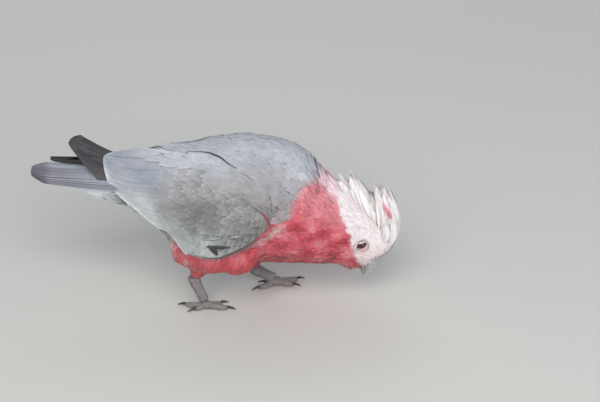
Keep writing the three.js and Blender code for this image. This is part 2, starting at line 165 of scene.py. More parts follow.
def placeFloorAndLights():
    bpy.ops.mesh.primitive_plane_add(size=view["floorSize"] * mm, location=(0, 0, 0))
    floor = bpy.context.object
    floor.name = "floor"
    # matte emulsion: a soft even ground
    paint, _, _ = newFinish("paintedStudioFloor", Base_Color=(*colour(view["floorColour"]), 1), Roughness=0.9)
    floor.data.materials.append(paint)
    for place, size, watts, tone in view["lamps"]:
        bpy.ops.object.light_add(type="AREA", location=Vector(place) * mm)
        lamp = bpy.context.object
        turnToward(lamp, Vector(place) * mm - Vector(view["aim"]) * mm)
        lamp.data.size = size * mm
        lamp.data.energy = watts
        lamp.data.color = colour(tone)
    world = bpy.data.worlds.new("studioSky")
    bpy.context.scene.world = world
    world.use_nodes = True
    sky = world.node_tree.nodes["Background"]
    sky.inputs["Color"].default_value = (*colour(view["skyColour"]), 1)
    sky.inputs["Strength"].default_value = view["skyStrength"]
    bpy.context.scene.view_settings.view_transform = "Standard"


placeCamera()
placeFloorAndLights()
print("camera and light are set")


# arrays of points, one row each
def unit(a):
    return a / np.maximum(np.linalg.norm(a, axis=-1, keepdims=True), 1e-9)


def dot(a, b):
    return (a * b).sum(-1, keepdims=True)


def smoothStep(low, high, x):
    t = np.clip((np.asarray(x, float) - low) / (high - low), 0, 1)
    return t * t * (3 - 2 * t)


def mix(a, b, share):
    share = np.asarray(share, float)[..., None]
    return np.asarray(a) * (1 - share) + np.asarray(b) * share


def jittered(tones, spread):  # each vane a little lighter or darker than the next
    return tones * (1 + draw.normal(0, spread, (len(tones), 1, 1, 1)))


def ripple(points, size, seed=0):  # soft noise between -1 and 1 with patches about size mm across
    waves = np.random.default_rng(seed)
    total = np.zeros(points.shape[:-1])
    for _ in range(7):
        way = unit(waves.normal(size=3)) * waves.uniform(0.6, 1.5) * 2 * math.pi / (2 * size)
        total += np.sin(points @ way + waves.uniform(0, 2 * math.pi))
    return total / 3.2


def readVectors(items, name):
    flat = np.empty(len(items) * 3, np.float32)
    items.foreach_get(name, flat)
    return flat.reshape(-1, 3).astype(float)


def pointsOf(mesh):
    return readVectors(mesh.vertices, "co") / mm


def setPoints(mesh, points):
    mesh.vertices.foreach_set("co", (points * mm).astype(np.float32).ravel())
    mesh.update()


def normalsOf(mesh):
    return readVectors(mesh.vertex_normals, "vector")


def addTint(mesh, tones):  # the piece's own colours, one for each point, in linear light
    tint = mesh.attributes.new("tint", "FLOAT_COLOR", "POINT")
    rgba = np.ones((len(mesh.vertices), 4), np.float32)
    rgba[:, :3] = np.clip(tones, 0, 1).reshape(-1, 3)
    tint.data.foreach_set("color", rgba.ravel())


def dress(piece, finish):
    piece.data.materials.append(finish)
    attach(piece, "root")


def offSegment(points, start, end):  # distance of each point from the line between two places
    start, end = np.array(start, float), np.array(end, float)
    run = np.clip(dot(points - start, end - start) / dot(end - start, end - start), 0, 1)
    return np.linalg.norm(points - start - run * (end - start), axis=-1)


def squareTo(path, ups):  # sides and ups made square to the way each path runs
    lie = unit(np.gradient(path, axis=1))
    ups = unit(ups - lie * dot(ups, lie))
    return np.cross(lie, ups), ups


def treeOf(*pieces):  # one search tree over several meshes, in millimetres
    corners, faces, start = [], [], 0
    for piece in pieces:
        corners += [Vector(p) for p in pointsOf(piece.data)]
        faces += [[start + i for i in f.vertices] for f in piece.data.polygons]
        start += len(piece.data.vertices)
    return BVHTree.FromPolygons(corners, faces)


def copyOfNodes(name, nodes):  # a merged, joined copy of CAD nodes, at the origin
    deselectAll()
    copies = [addPiece(node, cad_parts[node].data.copy()) for node in nodes]
    for twin in copies:
        twin.select_set(True)
    bpy.context.view_layer.objects.active = copies[0]
    if len(copies) > 1:
        bpy.ops.object.join()
    piece = bpy.context.object
    piece.name = name
    piece.data.name = name
    piece.data.materials.clear()
    bpy.ops.object.mode_set(mode="EDIT")
    bpy.ops.mesh.select_all(action="SELECT")
    bpy.ops.mesh.remove_doubles(threshold=0.01 * mm)
    bpy.ops.object.mode_set(mode="OBJECT")
    return piece


def applyModifier(piece, kind, **settings):
    makeActive(piece)
    step = piece.modifiers.new(kind.lower(), kind)
    for name, value in settings.items():
        setattr(step, name, value)
    bpy.ops.object.modifier_apply(modifier=step.name)


def fuse(piece, voxel, swell, smoothing):  # swells the joined solids, melts them into one and smooths it
    applyModifier(piece, "DISPLACE", strength=swell * mm, mid_level=0)
    applyModifier(piece, "REMESH", mode="VOXEL", voxel_size=voxel * mm, use_smooth_shade=True)
    applyModifier(piece, "SMOOTH", factor=0.5, iterations=smoothing)
    keepLargestIsland(piece)


def keepLargestIsland(piece):
    shape = bmesh.new()
    shape.from_mesh(piece.data)
    left, islands = set(shape.verts), []
    while left:
        queue = [left.pop()]
        island = list(queue)
        while queue:
            for edge in queue.pop().link_edges:
                for v in edge.verts:
                    if v in left:
                        left.remove(v)
                        queue.append(v)
                        island.append(v)
        islands.append(island)
    islands.sort(key=len)
    for island in islands[:-1]:
        bmesh.ops.delete(shape, geom=island, context="VERTS")
    shape.to_mesh(piece.data)
    shape.free()


def fusedCopy(name, nodes, voxel, swell, smoothing):
    piece = copyOfNodes(name, nodes)
    fuse(piece, voxel, swell, smoothing)
    return piece


# the lie of the plumage runs from the bill back along this middle line of the body to the tail
bodyLine = {
    "sideView": [(-116, 110), (-82, 109.5), (-40, 104), (12, 103), (40, 102), (64, 97.8), (78, 92),
                 (100, 79.3), (112, 75.8), (123, 67.5), (134, 61), (141.6, 55.5), (146, 46.8)],
    "steps": 180,
    "smoothing": 40,
    "blend": 4,  # mm over which a point follows more than one place on the line
    "thighDrop": (-0.42, 0, -1),
}


def lineSamples():
    knots = np.array(bodyLine["sideView"], float)
    along = np.r_[0, np.cumsum(np.linalg.norm(np.diff(knots, axis=0), axis=1))]
    s = np.linspace(0, along[-1], bodyLine["steps"])
    line = np.stack([np.interp(s, along, knots[:, 0]), 0 * s, np.interp(s, along, knots[:, 1])], -1)
    for _ in range(bodyLine["smoothing"]):
        line[1:-1] = (line[:-2] + 2 * line[1:-1] + line[2:]) / 4
    return s, line, unit(np.gradient(line, axis=0))


lineAt, linePoints, lineWays = lineSamples()


def alongBody(points):  # how far along the middle line each point lies, and the line's heading there
    place, heading, chunk = np.empty(len(points)), np.empty((len(points), 3)), 4000
    for start in range(0, len(points), chunk):
        part = slice(start, start + chunk)
        far = np.linalg.norm(points[part][:, None] - linePoints[None], axis=-1)
        weight = np.exp(-((far - far.min(1, keepdims=True)) / bodyLine["blend"]) ** 2)
        weight /= weight.sum(1, keepdims=True)
        place[part] = weight @ lineAt
        heading[part] = unit(weight @ lineWays)
    return place, heading


# the skin: one surface for the head, neck, trunk, thighs and shoulders, under the feathers
skinMake = {
    "voxel": 1.5,
    "swell": 0.5,
    "smoothing": 14,
    "coatDepth": 1.9,
    "headDepth": 1.3,
    "thighDepth": 1.8,
    "shoulderDepth": 1.1,
    "eyeDepth": 0.45,
    "eyeFade": (8, 14),
    "ventDepth": 9.0,
    "brow": ((155, 0, 58), 16, 5.5),
    "wingCutX": -34,
    "underWing": 2.6,
}
fleshNodes = ["trunk", "neck", "head", "thigh_right", "thigh_left"]


def boxMiddle(node):
    low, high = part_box(node)
    return np.array((low + high) / 2) / mm


eyes = {side: boxMiddle("eye_" + side) for side in sides}


def shoulderCopy(side):
    wing = copyOfNodes("shoulder_" + side, ["wing_" + side])
    bpy.ops.object.mode_set(mode="EDIT")
    bpy.ops.mesh.select_all(action="SELECT")
    bpy.ops.mesh.bisect(plane_co=(skinMake["wingCutX"] * mm, 0, 0), plane_no=(-1, 0, 0),
                        use_fill=True, clear_outer=True)
    bpy.ops.object.mode_set(mode="OBJECT")
    return wing


def makeSkin():
    skin = copyOfNodes("skin", fleshNodes)
    shoulders = [shoulderCopy(side) for side in sides]
    makeActive(skin)
    for shoulder in shoulders:
        shoulder.select_set(True)
    bpy.ops.object.join()
    fuse(skin, skinMake["voxel"], skinMake["swell"], skinMake["smoothing"])
    return skin


def eyeDistance(points):
    return np.minimum(*[np.linalg.norm(points - eyes[s], axis=-1) for s in sides])


def coatDepthAt(points, trees):  # how deep the skin lies, and the solid it lies under
    names = np.array(list(trees))
    far = [[tree.find_nearest(Vector(p))[3] for p in points] for tree in trees.values()]
    owner = np.argmin(np.array(far), axis=0)
    kinds = {"head": "headDepth", "thighs": "thighDepth", "wings": "shoulderDepth"}
    depth = np.array([skinMake[kinds.get(n, "coatDepth")] for n in names])[owner]
    offEye = smoothStep(*skinMake["eyeFade"], eyeDistance(points))
    return depth * offEye + skinMake["eyeDepth"] * (1 - offEye), names[owner]


def neighbourMean(mesh, values, rounds):
    ends = np.empty(len(mesh.edges) * 2, np.int32)
    mesh.edges.foreach_get("vertices", ends)
    ends = ends.reshape(-1, 2)
    count = np.bincount(ends.ravel(), minlength=len(values)).astype(float)[:, None]
    values = values if values.ndim > 1 else values[:, None]
    for _ in range(rounds):
        total = np.zeros_like(values)
        for column in range(values.shape[1]):
            total[:, column] = (np.bincount(ends[:, 0], values[ends[:, 1], column], len(values))
                                + np.bincount(ends[:, 1], values[ends[:, 0], column], len(values)))
        values = (values + total / count) / 2
    return values


skin = makeSkin()
fleshTrees = {name: treeOf(*[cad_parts[node] for node in nodes]) for name, nodes in {
    "trunk": ("trunk",), "neck": ("neck",), "head": ("head",), "thighs": ("thigh_right", "thigh_left"),
    "wings": ("wing_right", "wing_left")}.items()}
outerPoints = pointsOf(skin.data)
outerNormals = unit(neighbourMean(skin.data, normalsOf(skin.data), 3))
depth, skinOwner = coatDepthAt(outerPoints, fleshTrees)
depth = neighbourMean(skin.data, depth, 6)
underRear = smoothStep(-34, -62, outerPoints[:, 0]) * smoothStep(0.35, -0.3, outerNormals[:, 2])
depth = depth + skinMake["ventDepth"] * underRear[:, None]
brow, browReach, browRise = skinMake["brow"]  # the forehead swells out under the foot of the crest
swelling = browRise * np.exp(-(np.linalg.norm(outerPoints - brow, axis=1, keepdims=True) / browReach) ** 2)
skinPoints = outerPoints - outerNormals * (depth + skinMake["swell"] * 0.6 - swelling)
setPoints(skin.data, skinPoints)
skinNormals = unit(neighbourMean(skin.data, normalsOf(skin.data), 12))
print("skin has", len(skin.data.vertices), "points")


# the markings, used by the skin and by every feather that grows on it
def palette(**tones):
    return {name: np.array(colour(value)) for name, value in tones.items()}


hues = palette(
    rose="#cd5c69", roseDeep="#ad404b", rosePale="#e5a6ae", coral="#bf4f51", cap="#e9dfe1", nape="#f3d8df",
    mantle="#bbbdc4", shoulder="#98989b", rump="#b9bcc2", vent="#d6dbda", face="#eddcde", fluff="#d2c1c0",
    # hollow: painted shade for the folds of the breast
    hollow="#7a3a38")
borders = {
    "capHeights": (30, 46, 53, 62, 73, 81, 92, 100, 112, 125),
    "capX": (138, 129, 125.5, 123, 121.5, 119, 114.8, 111, 109.6, 107),
    "mantleSides": (0, 20, 28, 37, 43, 49, 60),
    "mantleX": (93, 88, 81, 73, 68, 52, 36),
    "mantleLow": 103,
    "napeFrom": 90,
    "napeSide": 17,
    "ventX": -41,
    "fluff": ((34, 45, 76), (57, 47, 95), 7.5),  # pale down at the wing's front edge: from, to, reach
    # painted shade in the breast's folds: from, to, reach and strength
    "hollows": (((44, 29, 51), (67, 35, 61), 4, 0.6), ((43, 41, 69), (45, 31, 54), 3.5, 0.45)),
}


def plumage(points):  # colour of the coat at each point, in linear light
    x, side, z = points[:, 0], np.abs(points[:, 1]), points[:, 2]
    place, _ = alongBody(points)
    onLine = np.c_[np.interp(place, lineAt, linePoints[:, 0]), np.interp(place, lineAt, linePoints[:, 2])]
    off = points[:, [0, 2]] - onLine
    height = off[:, 1] * 0.8 + off[:, 0] * 0.2
    topness = height / np.maximum(np.hypot(np.hypot(off[:, 0], off[:, 1]), side), 1)
    patch = ripple(points, 9, 1)
    fine = ripple(points, 3.5, 2)
    tone = mix(hues["rose"], hues["roseDeep"], smoothStep(-0.1, 1.1, patch + fine * 0.5))
    tone = mix(tone, hues["rosePale"], 0.45 * smoothStep(0.2, 1.3, -patch + fine * 0.4))
    # deeper coral low on the body and thighs: partly their own colour, partly painted shade toward the bottom
    tone = mix(tone, hues["coral"], 0.7 * smoothStep(78, 52, z) * smoothStep(100, 60, x))
    tone = mix(tone, hues["rosePale"], 0.5 * smoothStep(0.0, 0.6, topness))
    nape = smoothStep(4, -4, side - borders["napeSide"] + 2.5 * fine) * smoothStep(0.2, 0.4, topness)
    nape = nape * smoothStep(-3, 4, x - borders["napeFrom"] + 2 * patch)
    tone = mix(tone, hues["nape"], nape)
    mirrored = np.c_[x, side, z]
    start, end, reach = borders["fluff"]
    fluff = smoothStep(reach, 2, offSegment(mirrored, start, end) + 2 * fine + patch)
    tone = mix(tone, hues["fluff"], 0.75 * fluff)
    for start, end, reach, depth in borders["hollows"]:  # painted shade in the folds of the breast
        off = offSegment(mirrored, start, end)
        tone = mix(tone, hues["hollow"], depth * smoothStep(reach, 0.3 * reach, off + fine))
    edge = np.interp(z, borders["capHeights"], borders["capX"]) + 0.8 * fine
    fade = np.interp(z, (55, 80), (3.2, 1.4))
    inCap = smoothStep(-1, 1, (x - edge) / fade)
    tone = mix(tone, mix(hues["cap"], hues["face"], smoothStep(62, 46, z)), inCap)
    mantleEdge = np.interp(side, borders["mantleSides"], borders["mantleX"]) + 1.2 * fine
    grey = smoothStep(1.5, -1.5, x - mantleEdge) * smoothStep(-3, 3, z - borders["mantleLow"])
    # the rump's own paler grey behind; in front, past x 72, the same pale grey is painted light on the
    # mantle's rounded front
    back = mix(hues["mantle"], hues["rump"], smoothStep(-20, -80, x) + smoothStep(72, 86, x))
    tone = mix(tone, mix(back, hues["shoulder"], smoothStep(22, 42, side)), grey)
    vent = smoothStep(8, -8, x - borders["ventX"] + 2 * fine)
    tone = mix(tone, hues["vent"], vent * (1 - grey))
    mottled = smoothStep(-14, -34, x) * smoothStep(0.1, 0.9, patch + fine) * (1 - grey)
    tone = mix(tone, hues["vent"], 0.6 * mottled)
    return tone


# feathers are built as arrays: rows of points along each vane, closed below by a flat web
def outline(kind, t):  # half width of the vane along its length, as a share of the widest
    if kind == "round":  # mantle feathers and coverts
        return (0.4 + 0.6 * smoothStep(0, 0.45, t)) * np.sqrt(1 - np.clip((t - 0.55) / 0.47, 0, 1) ** 2.4)
    if kind == "flight":  # long quills with parallel edges
        return (0.35 + 0.65 * smoothStep(0, 0.22, t)) * np.sqrt(1 - np.clip((t - 0.9) / 0.104, 0, 1) ** 2.4)
    if kind == "plume":  # crest
        return (0.35 + 0.65 * smoothStep(0, 0.45, t)) * (1 - 0.7 * np.clip((t - 0.6) / 0.4, 0, 1) ** 2)
    if kind == "lance":  # nape, and the thin vanes that paint shade along partings between feathers
        return (0.3 + 0.7 * smoothStep(0, 0.5, t)) * (1 - 0.86 * np.clip((t - 0.45) / 0.55, 0, 1) ** 1.7)
    return (0.3 + 0.7 * smoothStep(0, 0.55, t)) * (1 - 0.5 * np.clip((t - 0.6) / 0.4, 0, 1) ** 2)  # soft


vaneParts = (
    "kind", "stations", "across",  # outline, and points along and across
    "roundBack", "fray",  # how far the barbs sweep back, and how uneven their ends are
    "rootLift", "tipLift", "crown", "liftSpread",  # mm above the surface, swell of the middle, unevenness
    "wrapRadius", "softness", "sway",  # radius it curls round, and how softly and unevenly it shades
    "crowding", "tilt", "frayDeep",
)
usualVane = {"softness": None, "crowding": 1.4, "tilt": 0, "frayDeep": 0.25}


def vaneShape(*values, **more):
    return {**usualVane, **dict(zip(vaneParts, values)), **more}


def sampleRows(rows, t):  # rows (F, K, 3) read at shares t (F, ...) of their length
    steps = rows.shape[1] - 1
    at = np.clip(t * steps, 0, None)
    low = np.clip(at.astype(int), 0, steps - 1)
    share = (at - low)[..., None]
    pick = np.arange(len(rows)).reshape((-1,) + (1,) * (t.ndim - 1))
    return rows[pick, low] * (1 - share) + rows[pick, low + 1] * share


def vaneFaces(stations, across):  # faces of one closed vane, and which of them are its top
    top = [(i * across + j, i * across + j + 1, (i + 1) * across + j + 1, (i + 1) * across + j)
           for i in range(stations - 1) for j in range(across - 1)]
    web = [(i * across, (i + 1) * across, (i + 1) * across + across - 1, i * across + across - 1)
           for i in range(stations - 2)]
    last = (stations - 1) * across
    tip = [(last - across,) + tuple(range(last, last + across)) + (last - 1,)]
    root = [tuple(range(across - 1, -1, -1))]
    return top + web + tip + root, len(top)


def growVanes(path, sideways, normal, length, width, make):
    # path, sideways, normal: (F, K, 3) along each middle line; length, width: (F,); make: a vane shape
    count, stations, across = len(path), make["stations"], make["across"]
    even = np.linspace(0, 1, stations)
    t = 1 - (1 - even) ** make["crowding"]
    v = np.linspace(-1, 1, across)
    grid = np.broadcast_to(t[None, :, None], (count, stations, across)).copy()
    grid -= make["roundBack"] * (v ** 2)[None, None, :] * (grid ** 3) * (width / length)[:, None, None]
    fray = draw.uniform(-1, 0.35, (count, across)) * make["fray"] * (width / length)[:, None]
    grid[:, -1] += fray
    grid[:, -2] += fray * make["frayDeep"]
    grid = np.maximum.accumulate(grid, axis=1) + 0.002 * np.arange(stations)[None, :, None]
    half = outline(make["kind"], t)[None, :, None] * width[:, None, None] / 2
    half = np.maximum(half, 0.09 * width[:, None, None])
    out = half * v[None, None, :]
    lift = make["rootLift"] + (make["tipLift"] - make["rootLift"]) * grid
    lift = lift + draw.normal(0, make["liftSpread"], (count, 1, 1)) * grid
    crown = make["crown"] * half * (1 - v ** 2)[None, None, :]
    tilt = make["tilt"] * out
    wrap = out ** 2 / (2 * make["wrapRadius"])
    aside, up = sampleRows(sideways, grid), sampleRows(normal, grid)
    place = sampleRows(path, grid) + aside * out[..., None] + up * (lift + crown + tilt - wrap)[..., None]
    onVane = np.stack([grid * length[:, None, None], out], axis=-1)
    vanes = {"place": place, "share": grid, "onVane": onVane, "edge": np.broadcast_to(np.abs(v), grid.shape)}
    if make["softness"] is not None:  # loose barbs scatter light: a downy vane shades much as the body does
        lean = v[None, None, :, None] * make["softness"] + draw.normal(0, make["sway"], (count, 1, 1, 1))
        rise = draw.normal(0, make["sway"], (count, 1, 1, 1))
        vanes["shade"] = unit(up + aside * lean + np.cross(up, aside) * rise)
    return vanes


backSink = {  # how far the back's own line drops at each x, and the heights over which that fades in
    "x": (-65, -46, -32, -18, -3, 11, 25, 40, 56), "drop": (0, 2, 4, 5.6, 5.4, 4.8, 2.8, 1.6, 0),
    "z": (138, 157),
}


def sinkBack(points):  # the back's own line runs a little lower than the wings' upper edges
    sunk = points.copy()
    share = smoothStep(*backSink["z"], points[..., 2])
    sunk[..., 2] -= np.interp(points[..., 0], backSink["x"], backSink["drop"]) * share
    return sunk


bakePatch = 0.003  # size of one vane on the map that its colours are baked to


def makeCoat(name, vanes, tones, bakeAt, finish):
    # vanes from growVanes; tones (F, n, m, 3) linear colour; bakeAt (F, 2) root place on the unwrapped skin
    count, stations, across = vanes["place"].shape[:3]
    size = stations * across
    faces, topCount = vaneFaces(stations, across)
    flat = np.concatenate([np.array(f) for f in faces])
    sizes = np.array([len(f) for f in faces])
    corners = (flat[None] + np.arange(count)[:, None] * size).ravel()
    mesh = bpy.data.meshes.new(name)
    mesh.vertices.add(count * size)
    mesh.vertices.foreach_set("co", (sinkBack(vanes["place"]) * mm).astype(np.float32).ravel())
    mesh.loops.add(len(corners))
    mesh.loops.foreach_set("vertex_index", corners.astype(np.int32))
    total = np.tile(sizes, count)
    mesh.polygons.add(len(total))
    mesh.polygons.foreach_set("loop_start", np.r_[0, np.cumsum(total)[:-1]].astype(np.int32))
    smooth = np.tile(np.arange(len(faces)) < topCount, count)
    mesh.update(calc_edges=True)
    mesh.polygons.foreach_set("use_smooth", smooth)
    addTint(mesh, tones)
    reach = vanes["onVane"].reshape(-1, 2) / 10  # one unit of this map is 10 mm of vane
    addMap(mesh, "OnVane", reach[corners])
    spot = np.stack([vanes["edge"] * 0 + np.linspace(-0.5, 0.5, across), vanes["share"] - 0.5], -1)
    addMap(mesh, "OFBake", (spot * bakePatch + bakeAt[:, None, None, :]).reshape(-1, 2)[corners])
    if "shade" in vanes:
        facing = np.where(np.arange(len(flat)) < topCount * 4, 1.0, -1.0)  # the web below faces the body
        shade = vanes["shade"].reshape(-1, 3)[corners] * np.tile(facing, count)[:, None]
        mesh.normals_split_custom_set(shade.tolist())
    piece = addPiece(name, mesh)
    dress(piece, finish)
    print(name, count, "vanes")
    return piece


def addMap(mesh, name, corners):
    layer = mesh.uv_layers.new(name=name)
    layer.data.foreach_set("uv", corners.astype(np.float32).ravel())


def bakePlaces(a, b):  # two measures of each root, spread over the unit square
    spread = [(v - v.min()) / max(v.max() - v.min(), 1e-6) for v in (a, b)]
    return 0.01 + 0.98 * np.stack(spread, -1)


# roots spread evenly over the skin
skin.data.calc_loop_triangles()
skinCorners = np.empty(len(skin.data.loop_triangles) * 3, np.int32)
skin.data.loop_triangles.foreach_get("vertices", skinCorners)
skinCorners = skinCorners.reshape(-1, 3)
skinFinder = KDTree(len(skinPoints))
for number, point in enumerate(skinPoints):
    skinFinder.insert(point, number)
skinFinder.balance()


def candidates(perSquareMm):
    a, b, c = (skinPoints[skinCorners[:, k]] for k in range(3))
    area = np.linalg.norm(np.cross(b - a, c - a), axis=1) / 2
    count = int(area.sum() * perSquareMm)
    pick = draw.choice(len(area), count, p=area / area.sum())
    u, w = draw.random(count), draw.random(count)
    over = u + w > 1
    u[over], w[over] = 1 - u[over], 1 - w[over]
    points = a[pick] + (b - a)[pick] * u[:, None] + (c - a)[pick] * w[:, None]
    return points, skinCorners[pick, 0]


def thin(points, spacing):  # keeps points no closer than the spacing given for each
    kept, grid = [], {}
    keys = np.floor(points / float(spacing.max())).astype(int)
    steps = list(itertools.product((-1, 0, 1), repeat=3))
    for i, (point, (a, b, c)) in enumerate(zip(points.tolist(), keys.tolist())):
        reach = spacing[i] ** 2
        around = (other for u, v, w in steps for other in grid.get((a + u, b + v, c + w), ()))
        if not any(sum((p - q) ** 2 for p, q in zip(point, other)) < reach for other in around):
            grid.setdefault((a, b, c), []).append(point)
            kept.append(i)
    return np.array(kept)


def lieAt(points, normals, thighShare):  # which way feathers point
    _, heading = alongBody(points)
    way = -heading
    drop = unit(np.array(bodyLine["thighDrop"]))
    way = way * (1 - thighShare[:, None]) + drop * thighShare[:, None]
    return unit(way - normals * dot(way, normals))


def followSkin(roots, length, thighShare, steps=6, wander=0.0):
    points, way = roots.copy(), None
    path, sides, ups = [], [], []
    turn = draw.normal(0, 1, len(roots)) * wander
    for _ in range(steps):
        near = np.array([skinFinder.find(p)[1] for p in points])
        normals = skinNormals[near]
        points = points - normals * dot(points - skinPoints[near], normals)
        lie = lieAt(points, normals, thighShare)
        side = np.cross(normals, lie)
        lie = unit(lie * np.cos(turn)[:, None] + side * np.sin(turn)[:, None])
        way = lie if way is None else unit(way * 0.6 + lie * 0.4)
        path.append(points)
        ups.append(normals)
        sides.append(unit(np.cross(lie, normals)))
        points = points + way * (length / (steps - 1))[:, None]
    return np.stack(path, 1), np.stack(sides, 1), np.stack(ups, 1)


# feather finishes: keratin vanes whose barbs catch the light as fine slanting ridges
featherIor = 1.54  # keratin


def featherFinish(name, roughness, sheen, gloss, barbs, barbShow, mottle, shades, shaft, relief, glow=0):
    # barbs: pitch in mm and slant; mottle: patch size in mm; shades: darkest, lightest; shaft: shade, width
    pitch, slant = barbs
    finish, tree, surface = newFinish(
        name, Roughness=roughness, Sheen_Weight=sheen, Sheen_Roughness=0.45, Specular_IOR_Level=gloss,
        IOR=featherIor, Subsurface_Weight=glow, Subsurface_Radius=(1, 1, 1), Subsurface_Scale=2 * mm)
    tint = addNode(tree, "ShaderNodeVertexColor", {"layer_name": "tint"})
    onVane = addNode(tree, "ShaderNodeUVMap", {"uv_map": "OnVane"})
    parts = addNode(tree, "ShaderNodeSeparateXYZ", Vector=onVane.outputs["UV"])
    aside = addNode(tree, "ShaderNodeMath", {"operation": "ABSOLUTE"}, _0=parts.outputs["Y"]).outputs[0]
    course = addWeighted(tree, aside, -slant, parts.outputs["X"])
    turns = addNode(tree, "ShaderNodeMath", {"operation": "MULTIPLY"}, _0=course)
    turns.inputs[1].default_value = 10 / pitch * 2 * math.pi  # the map's unit is 10 mm
    ridges = addNode(tree, "ShaderNodeMath", {"operation": "SINE"}, _0=turns.outputs[0]).outputs[0]
    patches = addTexture(tree, "ShaderNodeTexNoise", mottle, {"Detail": 4})
    streak = addWeighted(tree, ridges, barbShow, patches.outputs["Fac"])
    shade = addNode(tree, "ShaderNodeMapRange", {"From Min": 0.15, "From Max": 0.85, "To Min": shades[0],
                                                 "To Max": shades[1]}, Value=streak)
    middle = addNode(tree, "ShaderNodeMapRange", {"From Min": 0.015, "From Max": shaft[1] / 10,
                                                  "To Min": shaft[0], "To Max": 1}, Value=aside)
    both = addNode(tree, "ShaderNodeMath", {"operation": "MULTIPLY"}, _0=shade.outputs[0],
                   _1=middle.outputs[0])
    shadeSurface(tree, surface, tint.outputs["Color"], both.outputs[0])
    raiseSurface(tree, surface, streak, relief, 0.12)
    return finish


featherLooks = {  # roughness, sheen, gloss, barbs, how much they show, mottle, shades, shaft, relief, glow
    # matte, with loose barbs: reads as soft and deep
    "downyContourFeather": (0.85, 0.18, 0.25, (0.9, 1.3), 0.14, 1.6, (0.8, 1.16), (1, 0.4), 0.5),
    # fine pale barbs lying close: clean and satiny
    "silkyHeadFeather": (0.8, 0.12, 0.25, (0.8, 1.2), 0.1, 2, (0.92, 1.05), (1, 0.4), 0.25),
    # long loose white barbs that light passes through
    "crestPlume": (0.85, 0.15, 0.2, (1, 0.6), 0.12, 2.5, (0.9, 1.06), (1, 0.4), 0.35, 0.4),
    # closed vane: smooth, slightly silky grey
    "firmCovertFeather": (0.7, 0.1, 0.35, (0.8, 1.1), 0.1, 3, (0.88, 1.1), (0.93, 0.5), 0.3),
    # stiff vane with a dark glossy shaft
    "stiffFlightFeather": (0.55, 0.05, 0.45, (0.9, 0.9), 0.12, 5, (0.85, 1.12), (0.6, 0.7), 0.3),
}
softFeather, silkFeather, crestFeather, coverFeather, quillFeather = (
    featherFinish(name, *look) for name, look in featherLooks.items())


# each wing is seen square on, from outside and above, and mapped by x and by height h up its slope
wingMapMake = {"step": 2.0, "x": (-176, 80), "h": (-8, 142), "smooth": 4, "spread": 60, "far": 300}
rearStretch = {"from": -40, "right": -131, "left": -151}


def blur(grid):
    wide = np.pad(grid, 1, mode="edge")
    return (2 * grid + wide[:-2, 1:-1] + wide[2:, 1:-1] + wide[1:-1, :-2] + wide[1:-1, 2:]) / 6


def depthsOf(tree, xs, hs, outward, upward, far):
    depth = np.full((len(xs), len(hs)), np.nan)
    for i, x in enumerate(xs):
        for j, h in enumerate(hs):
            start = Vector((x, 0, 0)) + Vector(upward * h + outward * far)
            hit = tree.ray_cast(start, Vector(-outward))[0]
            if hit is not None:
                depth[i, j] = np.dot(outward, hit)
    return depth


def makeMap(tree, outward, upward, make, above=None):
    xs = np.arange(*make["x"], make["step"])
    hs = np.arange(*make["h"], make["step"])
    outward, upward = np.array(outward, float), np.array(upward, float)
    depth = depthsOf(tree, xs, hs, outward, upward, make["far"])
    known = ~np.isnan(depth)
    filled = [k.any() for k in known]
    low = [hs[k].min() for k in known if k.any()]
    high = [hs[k].max() for k in known if k.any()]
    if above is not None:  # past the upper edge the back itself is the surface
        top = np.interp(xs, xs[filled], high)
        back = depthsOf(above, xs, hs, outward, upward, make["far"])
        known |= (hs[None] > top[:, None]) & ~np.isnan(back)
        depth = np.where(np.isnan(depth), back, depth)
    values, weight = np.where(known, depth, 0), known.astype(float)
    for _ in range(make["spread"]):  # lets the surface run on past its edges
        values = np.where(known, values, blur(values * weight) / np.maximum(blur(weight), 1e-9))
        weight = (blur(weight) > 0).astype(float)
    for _ in range(make["smooth"]):
        values = blur(values)
    return {"xs": xs, "hs": hs, "depth": values, "outward": outward, "upward": upward, "step": make["step"],
            "low": np.interp(xs, xs[filled], low), "high": np.interp(xs, xs[filled], high)}


def onMap(surface, x, h):  # points and normals on a mapped surface
    depth, step = surface["depth"], surface["step"]

    def read(a, b):
        i = np.clip((a - surface["xs"][0]) / step, 0, len(surface["xs"]) - 1.001)
        j = np.clip((b - surface["hs"][0]) / step, 0, len(surface["hs"]) - 1.001)
        i0, j0 = i.astype(int), j.astype(int)
        u, w = i - i0, j - j0
        return ((depth[i0, j0] * (1 - u) + depth[i0 + 1, j0] * u) * (1 - w)
                + (depth[i0, j0 + 1] * (1 - u) + depth[i0 + 1, j0 + 1] * u) * w)

    reach = 3.0  # slopes are taken over this many mm to either side
    slopeX = (read(x + reach, h) - read(x - reach, h)) / (2 * reach)
    slopeH = (read(x, h + reach) - read(x, h - reach)) / (2 * reach)
    ahead = np.array([1.0, 0, 0])
    points = (x[..., None] * ahead + h[..., None] * surface["upward"]
              + read(x, h)[..., None] * surface["outward"])
    normals = unit(surface["outward"] - slopeX[..., None] * ahead - slopeH[..., None] * surface["upward"])
    return points, normals


wingMaps, part = {}, 1 / math.sqrt(2)  # each wing slopes by 45 degrees
for side, sign in sides.items():
    wingTree = treeOf(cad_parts["wing_" + side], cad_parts["primaries_" + side])
    wingMaps[side] = makeMap(wingTree, (0, sign * part, part), (0, -sign * part, part), wingMapMake,
                             fleshTrees["trunk"])
print("wings are mapped")


rearScale = (rearStretch["left"] - rearStretch["from"]) / (rearStretch["right"] - rearStretch["from"])


def edgesAt(side, x):  # the wing's lower and upper edge
    surface = wingMaps[side]
    return np.interp(x, surface["xs"], surface["low"]), np.interp(x, surface["xs"], surface["high"])


